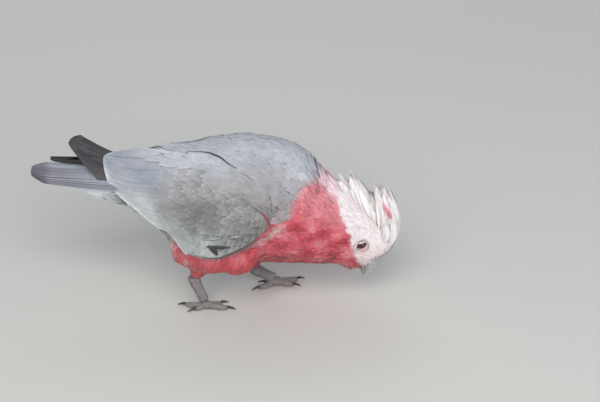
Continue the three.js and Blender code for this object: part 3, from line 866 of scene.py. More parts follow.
def refit(x, h, source, target, scale):
    xs = np.where(x < rearStretch["from"], rearStretch["from"] + (x - rearStretch["from"]) * scale, x)
    (low, high), (newLow, newHigh) = edgesAt(source, x), edgesAt(target, xs)
    return xs, newLow + (h - low) / np.maximum(high - low, 4) * (newHigh - newLow)


def toSide(side, x, h):  # the layout is drawn for the right wing; the left one is fitted to its own outline
    return (x, h) if side == "right" else refit(x, h, "right", "left", rearScale)


def upWing(side, points):
    return points @ wingMaps[side]["upward"]


def onLayout(side, points):  # x and h in the layout, so that both wings carry the same tones
    x, h = points[..., 0], upWing(side, points)
    return (x, h) if side == "right" else refit(x, h, "left", "right", 1 / rearScale)


wingBounds = {
    "rim": ((-66, -53, -38, -24, -12, 3, 17, 32, 42, 47, 51),  # lower edge: h at each x
            (51, 40, 28, 17.5, 14, 12, 16.5, 22.5, 29.5, 34, 44)),
    "front": ((40, 47, 51, 58, 67, 73, 88), (50, 56, 63, 67, 72, 81, 91)),  # front edge: x at each h
    "rear": ((28, 40, 51, 62, 72, 80, 89, 97, 102, 105, 107.5, 110),  # clean rear line: x at each h
             (-38, -53, -66, -80, -91, -95.5, -98, -99.5, -99.5, -97, -90, -70)),
    "blade": ((74, 77, 87, 97, 107, 112, 116, 119, 121.5, 124, 127),  # the same for the long quills
              (-98, -101, -110, -118, -126, -129.5, -131, -130, -127, -121, -110)),
    "bladeFar": ((70, 75, 81, 88, 97, 107, 112, 115, 118, 121, 124, 127, 130),
                 (-86, -94, -101, -107, -115, -123, -127.5, -129.5, -129, -126, -120, -110, -96)),
    "tipFar": ((53, 57, 60, 64, 68, 72, 78, 85), (-108, -122, -132, -142, -147.5, -149.5, -150, -147)),
}


def insideWing(points, low=-1.0, high=1.0):  # 1 for points under the feathered part of a wing, else 0
    share = np.zeros(len(points))
    for side, sign in sides.items():
        mine = points[:, 1] * sign > 0
        x, h = onLayout(side, points[mine])
        within = (np.interp(h, *wingBounds["front"]) - x, h - np.interp(x, *wingBounds["rim"]),
                  x - np.interp(h, *wingBounds["rear"]), edgesAt("right", x)[1] - h)
        share[mine] = smoothStep(low, high, np.min(within, axis=0))
    return share


# the notch, shadow and seam hues are painted shade for the dark notch and the lines of partings; the far
# primaries' near-black is painted shade too
wingHues = palette(primary="#353439", primaryRim="#6a676b", primaryDark="#0d0b0d", streak="#a3a8a7",
                   whiteRim="#d6dade", notch="#403d3c", shadow="#57504f", seam="#7b7674", wrist="#a84a55")
wingTones = [  # the closed wing's colours: x, h and colour, blended between the places given; they hold the wing's pattern together with painted light and shade
    (-94, 102, "#9ba1ac"), (-86, 93, "#a5abb6"), (-68, 98, "#b2b5bf"), (-46, 101, "#c2c5cf"),
    (-22, 98, "#bfc2cc"), (2, 92, "#b5b9c2"), (-60, 80, "#929eb0"), (-76, 80, "#a2a7b1"),
    (-46, 80, "#a9acb3"), (-30, 83, "#b2b3b9"), (-8, 80, "#aeb1b8"), (22, 79, "#abadb3"),
    (42, 77, "#a8a7ac"), (62, 72, "#aaaab0"), (-78, 67, "#b4b9be"), (-63, 57, "#c0c3c7"),
    (-53, 68, "#90969f"), (-40, 67, "#a5a6aa"), (-18, 66, "#a8a8aa"), (6, 62, "#a7a7a8"),
    (32, 62, "#9c9c9e"), (52, 60, "#a09ca0"), (-48, 53, "#989899"), (-36, 50, "#8d8c8c"),
    (-20, 46, "#838283"), (-6, 44, "#868485"), (10, 46, "#969595"), (30, 46, "#989898"),
    (44, 44, "#938f91"), (-58, 46, "#c0c6c9"), (-46, 36, "#b1b7b8"), (-33, 34, "#9ca3a4"),
    (-20, 34, "#767778"), (-8, 33, "#858686"), (8, 32, "#9b9c9c"), (27, 31, "#8f908f"),
    (40, 33, "#94918f"), (-32, 25, "#b4b9ba"), (-20, 23, "#b0b8b7"), (-8, 22, "#b9c1c0"),
    (9, 21, "#9ba0a0"), (-13, 16, "#b5bdbc"), (24, 23, "#969896"), (22, 98, "#b4b7bf"),
    (46, 95, "#b0b3bb"), (64, 88, "#acaeb5"),
]
wingPattern = np.array([[x, h, *colour(tone)] for x, h, tone in wingTones])


patternBlend = 6.5  # mm over which the tones run into each other


def wingPaint(x, h):
    far = (x[..., None] - wingPattern[:, 0]) ** 2 + (h[..., None] - wingPattern[:, 1]) ** 2
    weight = np.exp(-(far - far.min(-1, keepdims=True)) / (2 * patternBlend ** 2))
    tone = weight @ wingPattern[:, 2:] / weight.sum(-1, keepdims=True)
    flat = np.stack([x, h, 0 * x], -1)
    # painted light: a little lighter along the upper slope; also darker toward the rear
    level = 0.91 + 0.07 * smoothStep(82, 96, h) * smoothStep(-70, -50, x) - 0.06 * smoothStep(-55, -75, x)
    return tone * (level + 0.055 * ripple(flat, 6, 7) + 0.045 * ripple(flat, 2.4, 8))[..., None]


def aheadOfWing(points):  # how far in front of a wing's front edge, for points beside it; else negative
    gap = np.full(len(points), -1.0)
    for side, sign in sides.items():
        mine = points[:, 1] * sign > 0
        x, h = onLayout(side, points[mine])
        beside = (h > 52) & (x < 110)
        gap[mine] = np.where(beside, x - np.interp(h, *wingBounds["front"]), -1)
    return gap


pressShare, pressReach = 0.86, 12  # a feather keeps some of its own thickness where it is pressed


def fitToWing(points, level, over=False):  # presses points under the wings' feathers, or lifts them on top
    flat = points.reshape(-1, 3).copy()
    covered = insideWing(flat, 0, 3) if over else insideWing(flat, -3, 0)
    for side, sign in sides.items():
        mine = np.flatnonzero((flat[:, 1] * sign > 0) & (covered > 0))
        outward = wingMaps[side]["outward"]
        top, _ = onMap(wingMaps[side], flat[mine, 0], upWing(side, flat[mine]))
        move = dot(top, outward) + level - dot(flat[mine], outward)
        move = pressShare * (np.clip(move, 0, pressReach) if over else np.clip(move, -pressReach, 0))
        flat[mine] += move * covered[mine][:, None] * outward
    return flat.reshape(points.shape)


def greyUnder(points, tones, share):  # whatever lies under a wing takes the wing's own colour, darker by underShade as painted shade
    flat, tones, share = points.reshape(-1, 3), tones.reshape(-1, 3).copy(), share.ravel()
    for side, sign in sides.items():
        mine = np.flatnonzero((flat[:, 1] * sign > 0) & (share > 0))
        if len(mine):
            grey = wingPaint(*onLayout(side, flat[mine])) * coat["underShade"]
            tones[mine] = mix(tones[mine], grey, share[mine])
    return tones.reshape(points.shape)


# the body coat: sizes follow the place along the body, from the tail (0) to the bill (280)
coat = {
    "places": (0, 60, 110, 150, 190, 215, 235, 255, 280),
    "length": (24, 19, 15, 14, 13, 12, 12, 10, 5.5),
    "width": (8, 7, 5.2, 4.6, 4.2, 3.7, 3.4, 2.8, 1.9),
    "spacing": (4.2, 3.4, 2.5, 2.3, 2.1, 1.9, 1.75, 1.4, 1.0),
    "thigh": (15, 4.4, 2.2),
    "mantle": (15, 8, 3.1),
    "bareRing": 7.8,
    "toneSpread": 0.07,
    "tries": 2.2,  # for each square millimetre
    "underShade": 0.93,  # painted shade: how much darker the grey is under the wings
    # painted shade: the skin seen between the feathers is darker than the coat by this much
    "skinShade": 0.92,
    "under": -1.9, "over": 1.2,  # mm below the wing's feathers, or above them where the breast laps the wing
}
vaneShapes = {
    "face": vaneShape("soft", 5, 3, 0.5, 0.5, -0.2, 0.5, 0.06, 0.06, 18, 0.1, 0.08),
    "cap": vaneShape("soft", 7, 5, 0.5, 0.8, -0.2, 0.6, 0.05, 0.1, 24, 0.12, 0.1),
    "nape": vaneShape("lance", 7, 5, 0.3, 0.9, -0.3, 3.0, 0.1, 0.6, 30, 0.3, 0.2),
    "breast": vaneShape("soft", 6, 7, 0.45, 0.9, -0.4, 1.2, 0.08, 0.3, 40, 0.2, 0.12),
    "mantle": vaneShape("round", 9, 7, 0.5, 0.25, 0.9, 2.3, 0.04, 0.08, 45, 0.1, 0.04, 1.7),
}


def grainySkin(name, grain, shades, relief, **inputs):  # tinted skin, shaded and raised by a fine grain
    finish, tree, surface = newFinish(name, **inputs)
    tint = addNode(tree, "ShaderNodeVertexColor", {"layer_name": "tint"})
    noise = addTexture(tree, "ShaderNodeTexNoise", grain, {"Detail": 3}).outputs["Fac"]
    shade = addNode(tree, "ShaderNodeMapRange", {"To Min": shades[0], "To Max": shades[1]}, Value=noise)
    shadeSurface(tree, surface, tint.outputs["Color"], shade.outputs[0])
    raiseSurface(tree, surface, noise, *relief)
    return finish


skinPoints = fitToWing(skinPoints, -skinMake["underWing"])
setPoints(skin.data, skinPoints)
skinOnWing = neighbourMean(skin.data, (skinOwner == "wings").astype(float), 4)[:, 0]
skinUnderWing = skinOnWing * insideWing(skinPoints)


def finishSkin():
    setPoints(skin.data, sinkBack(skinPoints))
    ownGrey = np.maximum(skinUnderWing, skinOnWing * smoothStep(12, -8, skinPoints[:, 0]))
    tones = greyUnder(skinPoints, plumage(skinPoints) * coat["skinShade"], smoothStep(0.3, 0.7, ownGrey))
    addTint(skin.data, tones)
    skin.data.materials.clear()
    # thin matte skin, only glimpsed between the feathers
    finish = grainySkin("featheredSkin", 1.2, (0.75, 1.05), (0.4, 0.2), Roughness=0.8)
    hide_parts(*fleshNodes)
    dress(skin, finish)


def makeBodyCoat():
    roots, vertex = candidates(coat["tries"])
    owner = skinOwner[vertex]
    place, _ = alongBody(roots)
    x, side, z = roots[:, 0], np.abs(roots[:, 1]), roots[:, 2]
    ringShare = 0.5 + 0.5 * smoothStep(9, 20, eyeDistance(roots))
    length, width, spacing = (np.interp(place, coat["places"], coat[key]) * ringShare
                              for key in ("length", "width", "spacing"))
    onThigh, onWing = owner == "thighs", owner == "wings"
    mantleEdge = np.interp(side, borders["mantleSides"], borders["mantleX"])
    grey = (x < mantleEdge) & (z > borders["mantleLow"]) & ~onThigh
    for where, key in ((onThigh, "thigh"), (grey, "mantle")):
        length[where], width[where], spacing[where] = coat[key]
    bare = onWing & (insideWing(roots) < 0.5) & (x > -26)
    ahead = aheadOfWing(roots)
    keep = (~onWing | bare) & (eyeDistance(roots) > coat["bareRing"]) & ((ahead < 0) | (ahead > 4))
    index = np.flatnonzero(keep & ~((x < -88) & (z < 119)))  # the tail's own under coverts lie there
    index = index[thin(roots[index], spacing[index])]
    clear = np.array([fleshTrees["wings"].ray_cast(Vector(p + n), Vector(n), 16)[0] is None
                      for p, n in zip(roots[index], skinNormals[vertex[index]])])
    index = index[clear | bare[index]]
    roots, place, length, width, grey, onThigh, ahead = (
        a[index] for a in (roots, place, length, width, grey, onThigh, ahead))
    length = length * draw.uniform(0.85, 1.12, len(index))
    x, z = roots[:, 0], roots[:, 2]
    inCap = (x > np.interp(z, borders["capHeights"], borders["capX"])) & (place > 205) & ~onThigh
    face = (place > 252) & ~onThigh & ~grey
    nape = (x > borders["napeFrom"] - 2) & ~inCap & ~face & (plumage(roots)[:, 1] > 0.3)
    rest = ~(face | inCap | nape | grey)
    groups = [("face", face, "face", "plumage_white", silkFeather, 0.2),
              ("cap", inCap & ~face, "cap", "plumage_white", silkFeather, 0.15),
              ("nape", nape, "nape", "plumage_white", silkFeather, 0.35),
              ("breast", rest & (x > 44), "breast", "plumage_pink", softFeather, 0.14),
              ("belly", rest & (x <= 44), "breast", "plumage_pink", softFeather, 0.14),
              ("mantle", grey, "mantle", "plumage_grey", coverFeather, 0.05)]
    for name, members, shape, slotName, finish, wander in groups:
        path, aside, ups = followSkin(roots[members], length[members], onThigh[members].astype(float),
                                      wander=wander)
        clear = (eyeDistance(path) > coat["bareRing"] - 0.4).all(1)
        if shape == "face":  # the bill's root stays bare
            clear &= np.array([min(billTree.find_nearest(Vector(p))[3] for p in line[2:]) > 1.4
                               for line in path])
        members = np.flatnonzero(members)[clear]
        path = path[clear]
        vanes = growVanes(path, aside[clear], ups[clear], length[members], width[members], vaneShapes[shape])
        lapping = (ahead[members] > 0) & (shape != "mantle")
        vanes["place"][~lapping] = fitToWing(vanes["place"][~lapping], coat["under"])
        vanes["place"][lapping] = fitToWing(vanes["place"][lapping], coat["over"], over=True)
        along, share = plumage(path.reshape(-1, 3)).reshape(path.shape), np.clip(vanes["share"], 0, 1)
        tones = 0.35 * along[:, 2][:, None, None] + 0.65 * sampleRows(along, share)
        tones = jittered(tones, coat["toneSpread"])
        # the mantle's vanes are paler at their tips and edges; the others are darker toward the root, painted
        # shade where the next vanes overlap them
        if shape == "mantle":
            tones = tones * (0.94 + 0.14 * smoothStep(0.8, 1, np.maximum(share, vanes["edge"])))[..., None]
        else:
            tones = tones * (0.88 + 0.14 * share)[..., None]
        if shape in ("breast", "mantle"):
            hidden = insideWing(vanes["place"].reshape(-1, 3), 0, 1.5).reshape(share.shape)
            hidden[lapping] = 0
            tones = greyUnder(vanes["place"], tones, hidden)
        around = np.arctan2(path[:, 0, 1], path[:, 0, 2] - 80)
        makeCoat("plumage_" + name, vanes, tones, bakePlaces(place[members], around), finish)


chin = {"from": 113, "below": 47, "side": 17, "spacing": 1.5, "length": 9, "width": 2.6, "aim": (139, 27)}


def makeChin():  # cheek and chin feathers reach forward over the lower bill
    roots, vertex = candidates(2.0)
    x, y, z = roots.T
    inside = (x > chin["from"]) & (z < chin["below"]) & (np.abs(y) < chin["side"])
    index = np.flatnonzero(inside & (skinOwner[vertex] == "head"))
    index = index[thin(roots[index], np.full(len(index), chin["spacing"]))]
    roots, normals = roots[index], skinNormals[vertex[index]]
    target = roots * (0, 0.45, 0) + (chin["aim"][0], 0, chin["aim"][1])
    way = unit(target - roots)
    way = unit(way - 0.8 * normals * dot(way, normals) + draw.normal(0, 0.12, way.shape))
    short = smoothStep(43, 36, roots[:, 2] + 0.35 * (roots[:, 0] - 126))  # the upper bill's side stays bare
    length = chin["length"] * draw.uniform(0.8, 1.15, len(roots)) * (0.45 + 0.55 * short)
    t = np.linspace(0, 1, 6)[None, :, None]
    path = roots[:, None] + way[:, None] * t * length[:, None, None]
    path = path + normals[:, None] * (0.9 * np.sin(t * math.pi / 2))
    ups = np.repeat(normals[:, None], 6, 1)
    shape = dict(vaneShapes["face"], tipLift=0.2)
    vanes = growVanes(path, unit(np.cross(way, normals))[:, None] * np.ones((1, 6, 1)), ups, length,
                      chin["width"] * (0.65 + 0.35 * short), shape)
    tones = jittered(plumage(roots)[:, None, None] * np.ones_like(vanes["place"]), coat["toneSpread"])
    makeCoat("plumage_chin", vanes, tones, bakePlaces(*roots.T[:2]), softFeather)


billTree = treeOf(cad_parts["bill_upper"])
finishSkin()
makeBodyCoat()
makeChin()
print("the body is feathered")


def paintWing(side, vanes, rim=0.1, shade=0.12, jitter=0.03):
    tones = jittered(wingPaint(*onLayout(side, vanes["place"])), jitter)
    share, edge = np.clip(vanes["share"], 0, 1), vanes["edge"]
    border = smoothStep(0.74, 1, np.maximum(share ** 1.5, edge * smoothStep(0.1, 0.5, share)))
    # painted shade: each vane darker toward its root, where the vanes above overlap it; rim: its paler
    # margins
    return tones * (1 - shade * (1 - share) + rim * border)[..., None]


def layLines(side, lines, width, make):  # lines (F, K, 2) of x and h
    x, h = toSide(side, lines[..., 0], lines[..., 1])
    points, normals = onMap(wingMaps[side], x, h)
    lie = unit(np.gradient(points, axis=1))
    length = np.linalg.norm(np.diff(points, axis=1), axis=-1).sum(1)
    make = dict(make, tilt=-make["tilt"] * sides[side])
    vanes = growVanes(points, unit(np.cross(lie, normals)), normals, length, np.asarray(width, float), make)
    return vanes, bakePlaces(lines[:, 0, 0] + 0.001 * np.arange(len(lines)), lines[:, 0, 1])


def layVanes(side, roots, tips, width, make, bow=0.0, steps=9):
    roots, tips = np.asarray(roots, float), np.asarray(tips, float)
    t = np.linspace(0, 1, steps)[None, :, None]
    line = roots[:, None] * (1 - t) + tips[:, None] * t
    span = tips - roots
    across = unit(np.stack([-span[:, 1], span[:, 0]], -1))
    bows = np.broadcast_to(np.asarray(bow, float), (len(roots),))
    line = line + across[:, None] * (bows * np.linalg.norm(span, axis=1))[:, None, None] * 4 * t * (1 - t)
    return layLines(side, line, width, make)


def alongCurve(points, count, jitter=0.0):  # evenly spaced places on a line of points
    points = np.array(points, float)
    run = np.r_[0, np.cumsum(np.linalg.norm(np.diff(points[:, :2], axis=0), axis=1))]
    at = np.linspace(0, run[-1], count) + draw.normal(0, jitter, count)
    return np.stack([np.interp(at, run, points[:, k]) for k in range(points.shape[1])], -1)


def heading(degrees):  # 0 points to the tail, positive turns up the slope
    turn = np.radians(degrees)
    return np.stack([-np.cos(turn), np.sin(turn)], -1)


wingShapes = {
    "flight": vaneShape("flight", 16, 7, 0.35, 0.05, -1.4, -0.9, 0.015, 0, 400, 0.05, 0.01, 1.5, -0.025),
    "greater": vaneShape("round", 12, 7, 0.45, 0.08, -1.3, -0.45, 0.02, 0.05, 200, 0.06, 0.015, 1.7, -0.02),
    "lesser": vaneShape("round", 9, 7, 0.5, 0.25, -0.9, 0.4, 0.04, 0.12, 60, 0.12, 0.05, 1.7),
    "scapular": vaneShape("round", 12, 7, 0.45, 0.12, -0.5, 0.6, 0.03, 0.08, 80, 0.08, 0.02, 1.7, -0.015),
    "crease": vaneShape("lance", 14, 3, 0, 0, 1, 1, 0.1, 0, 400, crowding=1),
}
wingPlan = {
    "primaries": {"count": 6, "roots": [(-40, 62), (-46, 84)], "tips": [(-134, 121), (-137, 115), (-133, 106),
                  (-125, 96), (-117, 86), (-107, 76)], "width": (21, 14), "bow": -0.02},
    "secondaries": {"count": 10, "roots": [(8, 22), (-4, 74)], "tips": [(-94, 70), (-104, 84), (-106, 92)],
                    "width": 17, "lift": (-1.1, -0.3), "bow": 0.045},
    "tertials": {"count": 5, "roots": [(-18, 76), (-8, 94)], "tips": [(-106, 92), (-106, 99), (-102, 105)],
                 "width": 22, "lift": (-0.4, -0.2), "bow": 0.03},
    # rows of tips: x, h and heading at places along each; counts: how many feathers in each row
    "greaterCoverts": {"rows": [[(-34, 25.5, 30), (-45, 37, 26), (-54, 53, 20), (-53, 74, 16),
                       (-44, 92, 10)]], "counts": (14,), "length": 40, "width": 13},
    "paleCoverts": {"rows": [[(2, 14.5, -2), (-14, 17, 14), (-33, 26, 28)]], "counts": (12,), "length": 27,
                    "width": 10, "rise": 0.3},
    "paleUpper": {"rows": [[(-2, 20, -6), (-18, 23, 6), (-34, 33, 20)]], "counts": (9,), "length": 25,
                  "width": 9.5, "rise": 0.45},
    "medianCoverts": {"rows": [[(-8, 21, -8), (-24, 28, -4), (-36, 42, 2), (-41, 62, 8), (-34, 86, 10)]],
                      "counts": (16,), "length": 26, "width": 11, "rise": 0.35, "contrast": (0.3, 0.4)},
    "innerCoverts": {"rows": [[(-12, 29, -14), (-25, 40, -6), (-30, 60, 6), (-24, 84, 10)]], "counts": (13,),
                     "length": 24, "width": 10, "rise": 0.6, "contrast": (0.3, 0.42)},
    "scapulars": {"rows": [[(-50, 103.5, 6), (-40, 98, 8), (-24, 92, 4)], [(-30, 102, 6), (-14, 95, 2),
                  (4, 84, -8)], [(-8, 104, 6), (4, 95, -2), (18, 80, -14)]], "counts": (5, 7, 8),
                  "length": 32, "width": 13, "vary": ((0.88, 1.08), (0.92, 1.08)), "shape": "scapular",
                  "contrast": (0.08, 0.08, 0.02), "most": 0.8},
    "lesserCoverts": {"spacing": 3.9, "length": 13.5, "width": 8.5, "spin": 10, "focus": (66, 58),
                      "contrast": (0.34, 0.5, 0.08)},
    "shoulderFeathers": {"spacing": 4.4, "length": 17, "width": 9.5, "spin": 6,
                         "contrast": (0.08, 0.12, 0.025), "most": 0.9},
    "creases": [  # painted shadow: partings, the notch and the wing's lower edge get thin dark vanes laid on the wing, with two pale streaks and a pink wrist line among them; course, width, lift and hue
        ([(20, 84), (13, 89.5), (6, 97), (-6, 103), (-14, 104.5), (-23, 105)], 1.8, 1.5, "shadow"),
        ([(24, 56), (32, 50.5), (38, 47), (43, 43.5), (47, 40)], 0.7, 0.9, "seam"),
        ([(40, 46), (45, 42), (48.5, 38), (50, 33)], 2.0, 0.9, "wrist"),
        ([(48, 60), (50, 53), (50.5, 47), (52, 43)], 0.7, 1.0, "seam"),
        ([(22, 79), (29, 75.5), (36, 70)], 0.6, 1.0, "seam"),
        ([(-7, 20.5), (-1, 20), (5, 19.5), (14, 19.5)], 3.6, 1.3, "notch"),
        ([(-5.5, 21), (-1, 18.5), (2.5, 14.5)], 6.0, 1.3, "notch"),
        ([(25, 28), (20, 27), (13, 25.8)], 2.6, 0.5, "streak"),
        ([(6, 26.3), (0, 25.5), (-7, 25)], 2.8, 0.5, "streak"),
        ([(46, 33.5), (32, 22.3), (17, 16.3), (3, 11.8), (-12, 13.6), (-22, 17)], 1.2, -0.2, "shadow"),
    ],
}


trimShare = 0.93  # what passes an edge is drawn back by this much, so that no vane folds flat


def paintVanes(vanes, base, rim=None, rimShare=0.0, shade=0.1, rimWidth=0.22):
    place, edge = np.clip(vanes["share"], 0, 1), vanes["edge"]
    tones = np.broadcast_to(base[:, None, None, :], vanes["place"].shape).copy()
    # painted shade: darker toward the root, where the next vanes overlap it
    tones *= (1 - shade * (1 - place))[..., None]
    if rim is not None:
        border = smoothStep(1 - rimWidth, 1, np.maximum(place ** 1.5, edge * smoothStep(0.1, 0.5, place)))
        tones = mix(tones, rim, border * rimShare)
    return tones


def trimRear(side, vanes, line):  # tips end on one clean line; returns how far inside it each point lies
    x, h = onLayout(side, vanes["place"])
    edge = np.interp(h, *wingBounds[line])
    scale = 1 if side == "right" else rearScale
    vanes["place"][..., 0] += trimShare * scale * np.maximum(edge - x, 0)
    return np.maximum(x - edge, 0)


def trimRim(side, vanes):  # nothing hangs below the wing's lower edge
    x, h = onLayout(side, vanes["place"])
    below = np.maximum(np.interp(x, *wingBounds["rim"]) - h, 0) * (x > -24)
    vanes["place"] = vanes["place"] + trimShare * below[..., None] * wingMaps[side]["upward"]


def makePrimaries(side):
    plan, near = wingPlan["primaries"], side == "right"
    tips = np.array(plan["tips"], float)
    tips[:, 1] += 0 if near else 2
    roots = alongCurve(plan["roots"], plan["count"])
    shape = dict(wingShapes["flight"], rootLift=-4.5, tipLift=-2.2)
    vanes, places = layVanes(side, roots, tips, np.linspace(*plan["width"], len(tips)), shape, plan["bow"])
    trimRear(side, vanes, "blade" if near else "bladeFar")
    if not near:  # the far tip is rounded off in its own measures
        tipEnd = np.interp(upWing(side, vanes["place"]), *wingBounds["tipFar"])
        vanes["place"][..., 0] += 0.95 * np.maximum(tipEnd - vanes["place"][..., 0], 0)
    # painted shade: the far wing's primaries are near black, as they lie in shade; the near ones keep their
    # dark grey and pale rims
    dark = wingHues["primary" if near else "primaryDark"] * (1 + draw.normal(0, 0.04, (len(tips), 1)))
    tones = paintVanes(vanes, dark, wingHues["primaryRim"], 0.2 if near else 0, 0, 0.1)
    makeCoat("primaries_" + side + "_vanes", vanes, tones, places, quillFeather)


def makeQuills(side, name):
    plan = wingPlan[name]
    count = plan["count"]
    roots, tips = alongCurve(plan["roots"], count), alongCurve(plan["tips"], count)
    shape = wingShapes["flight" if name == "secondaries" else "greater"]
    vanes, places = layVanes(side, roots, tips, np.full(count, plan["width"]), shape, plan["bow"])
    rise = np.linspace(*plan["lift"], count)[:, None, None, None]
    vanes["place"] = vanes["place"] + rise * wingMaps[side]["outward"]
    inside = trimRear(side, vanes, "rear")
    tones = paintWing(side, vanes, 0.06, 0.02, 0.015)
    low = smoothStep(98, 86, upWing(side, vanes["place"]))
    tones = mix(tones, wingHues["whiteRim"], (0.25 + 0.45 * low) * smoothStep(1.7, 0.6, inside))
    makeCoat(name + "_" + side, vanes, tones, places, quillFeather)


def drape(side, vanes, most):  # overhanging edges bend down to the surface they lie on
    surface = wingMaps[side]
    top, _ = onMap(surface, vanes["place"][..., 0], upWing(side, vanes["place"]))
    high = dot(vanes["place"] - top, surface["outward"])
    vanes["place"] = vanes["place"] - 0.85 * np.maximum(high - most, 0) * surface["outward"]


def makeCover(side, name, roots, tips, width, shape):  # lays, fits and paints one set of grey feathers
    plan = wingPlan[name]
    vanes, places = layVanes(side, roots, tips, width, shape)
    if "most" in plan:
        drape(side, vanes, plan["most"])
    else:
        trimRim(side, vanes)
    tones = paintWing(side, vanes, *plan.get("contrast", (0.1, 0.12)))
    makeCoat(name + "_" + side, vanes, tones, places, coverFeather)


def makeRows(side, name):
    plan = wingPlan[name]
    tips = np.concatenate([alongCurve(row, n, 0.8) for row, n in zip(plan["rows"], plan["counts"])])
    length, width = (plan[key] * draw.uniform(*ends, len(tips)) for key, ends in zip(
        ("length", "width"), plan.get("vary", ((0.9, 1.08), (0.92, 1.1)))))
    roots = tips[:, :2] - heading(tips[:, 2]) * length[:, None]
    base, rise = wingShapes[plan.get("shape", "greater")], plan.get("rise", 0)
    shape = dict(base, tipLift=base["tipLift"] + rise, rootLift=base["rootLift"] + rise * 0.5)
    makeCover(side, name, roots, tips[:, :2], width, shape)


def scatterFlat(low, high, spacing, inside):  # evenly spread places in (x, h)
    tries = np.stack([draw.uniform(*ends, 9000) for ends in zip(low, high)], -1)
    tries = tries[inside(tries)]
    return tries[thin(np.c_[tries, np.zeros(len(tries))], np.full(len(tries), spacing))]


def behindFront(roots):  # the grey stops where the pink neck begins
    kept = roots.copy()
    kept[:, 0] = np.minimum(roots[:, 0], np.interp(roots[:, 1], *wingBounds["front"]))
    return kept


def makeLesserCoverts(side):
    plan = wingPlan["lesserCoverts"]

    def inPatch(p):
        x, h = p.T
        top = np.minimum(edgesAt("right", x)[1], 64 - 0.25 * (x - 10))
        behind = x < np.interp(h, *wingBounds["front"]) - 2
        return (h > np.interp(x, *wingBounds["rim"]) + 0.5) & (h < top) & (x > -24) & behind

    tips = scatterFlat((-30, 4), (62, 80), plan["spacing"], inPatch)
    away = tips - plan["focus"]  # the feathers fan out from the bend of the wing
    turn = np.degrees(np.arctan2(away[:, 1] * 0.9, -away[:, 0])) + draw.normal(0, plan["spin"], len(tips))
    low = np.interp(tips[:, 0], *wingBounds["rim"])
    rimSlope = (np.interp(tips[:, 0] + 4, *wingBounds["rim"]) - low) / 4
    nearRim = 1 - smoothStep(3, 13, tips[:, 1] - low)  # the outer row lies along the wing's edge
    turn = turn * (1 - nearRim) + np.degrees(np.arctan(-rimSlope)) * nearRim
    size = 1 - 0.42 * (1 - smoothStep(2, 16, tips[:, 1] - low))
    size = size * draw.uniform(0.88, 1.1, len(tips))
    length, width = plan["length"] * size, plan["width"] * size
    roots = behindFront(tips - heading(turn) * length[:, None])
    keep = roots[:, 0] - tips[:, 0] > 2.5
    makeCover(side, "lesserCoverts", roots[keep], tips[keep], width[keep], wingShapes["lesser"])


def makeShoulder(side):
    plan = wingPlan["shoulderFeathers"]

    def inShoulder(p):
        x, h = p.T
        return (h < edgesAt("right", x)[1] + 2) & (h > 60 - 0.25 * (x - 10)) & (x > -13) & (x + 0.5 * h > 24)

    tips = scatterFlat((-14, 44), (74, 108), plan["spacing"], inShoulder)
    turn = -8 + 0.25 * (tips[:, 1] - 75) + draw.normal(0, plan["spin"], len(tips))
    size = draw.uniform(0.88, 1.1, len(tips))
    roots = behindFront(tips - heading(turn) * (plan["length"] * size)[:, None])
    keep = roots[:, 0] - tips[:, 0] > 5
    shape = dict(wingShapes["lesser"], rootLift=-0.4, tipLift=0.8)
    makeCover(side, "shoulderFeathers", roots[keep], tips[keep], plan["width"] * size[keep], shape)


# painted shadow lines along partings, the notch and the lower edge, with the pale streaks and the pink wrist
# line
def makeCreases(side):
    plan = wingPlan["creases"]
    lines = np.stack([alongCurve(course, 12) for course, _, _, _ in plan])
    width = [w for _, w, _, _ in plan]
    vanes, places = layLines(side, lines, width, wingShapes["crease"])
    rise = np.array([lift - 1 for _, _, lift, _ in plan])[:, None, None, None]
    vanes["place"] = vanes["place"] + rise * wingMaps[side]["outward"]
    tones = paintVanes(vanes, np.stack([wingHues[hue] for _, _, _, hue in plan]), shade=0)
    makeCoat("wingPartings_" + side, vanes, tones, places, coverFeather)


def makeWing(side):
    makePrimaries(side)
    makeQuills(side, "secondaries")
    makeQuills(side, "tertials")
    for name in ("greaterCoverts", "paleCoverts", "paleUpper", "medianCoverts", "innerCoverts"):
        makeRows(side, name)
    makeLesserCoverts(side)
    makeShoulder(side)
    makeRows(side, "scapulars")
    makeCreases(side)
    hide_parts("wing_" + side)
    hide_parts("primaries_" + side)
    print("the", side, "wing is feathered")


for wingSide in sides:
    makeWing(wingSide)


# long soft feathers of the back, lying across the hollow between the wings
backPlan = {"x": (-66, 20), "half": 24, "spacing": 4.2, "length": 25, "width": 9.5,
            "map": {"step": 2.0, "x": (-110, 80), "h": (-50, 50), "smooth": 26, "spread": 3, "far": 300}}


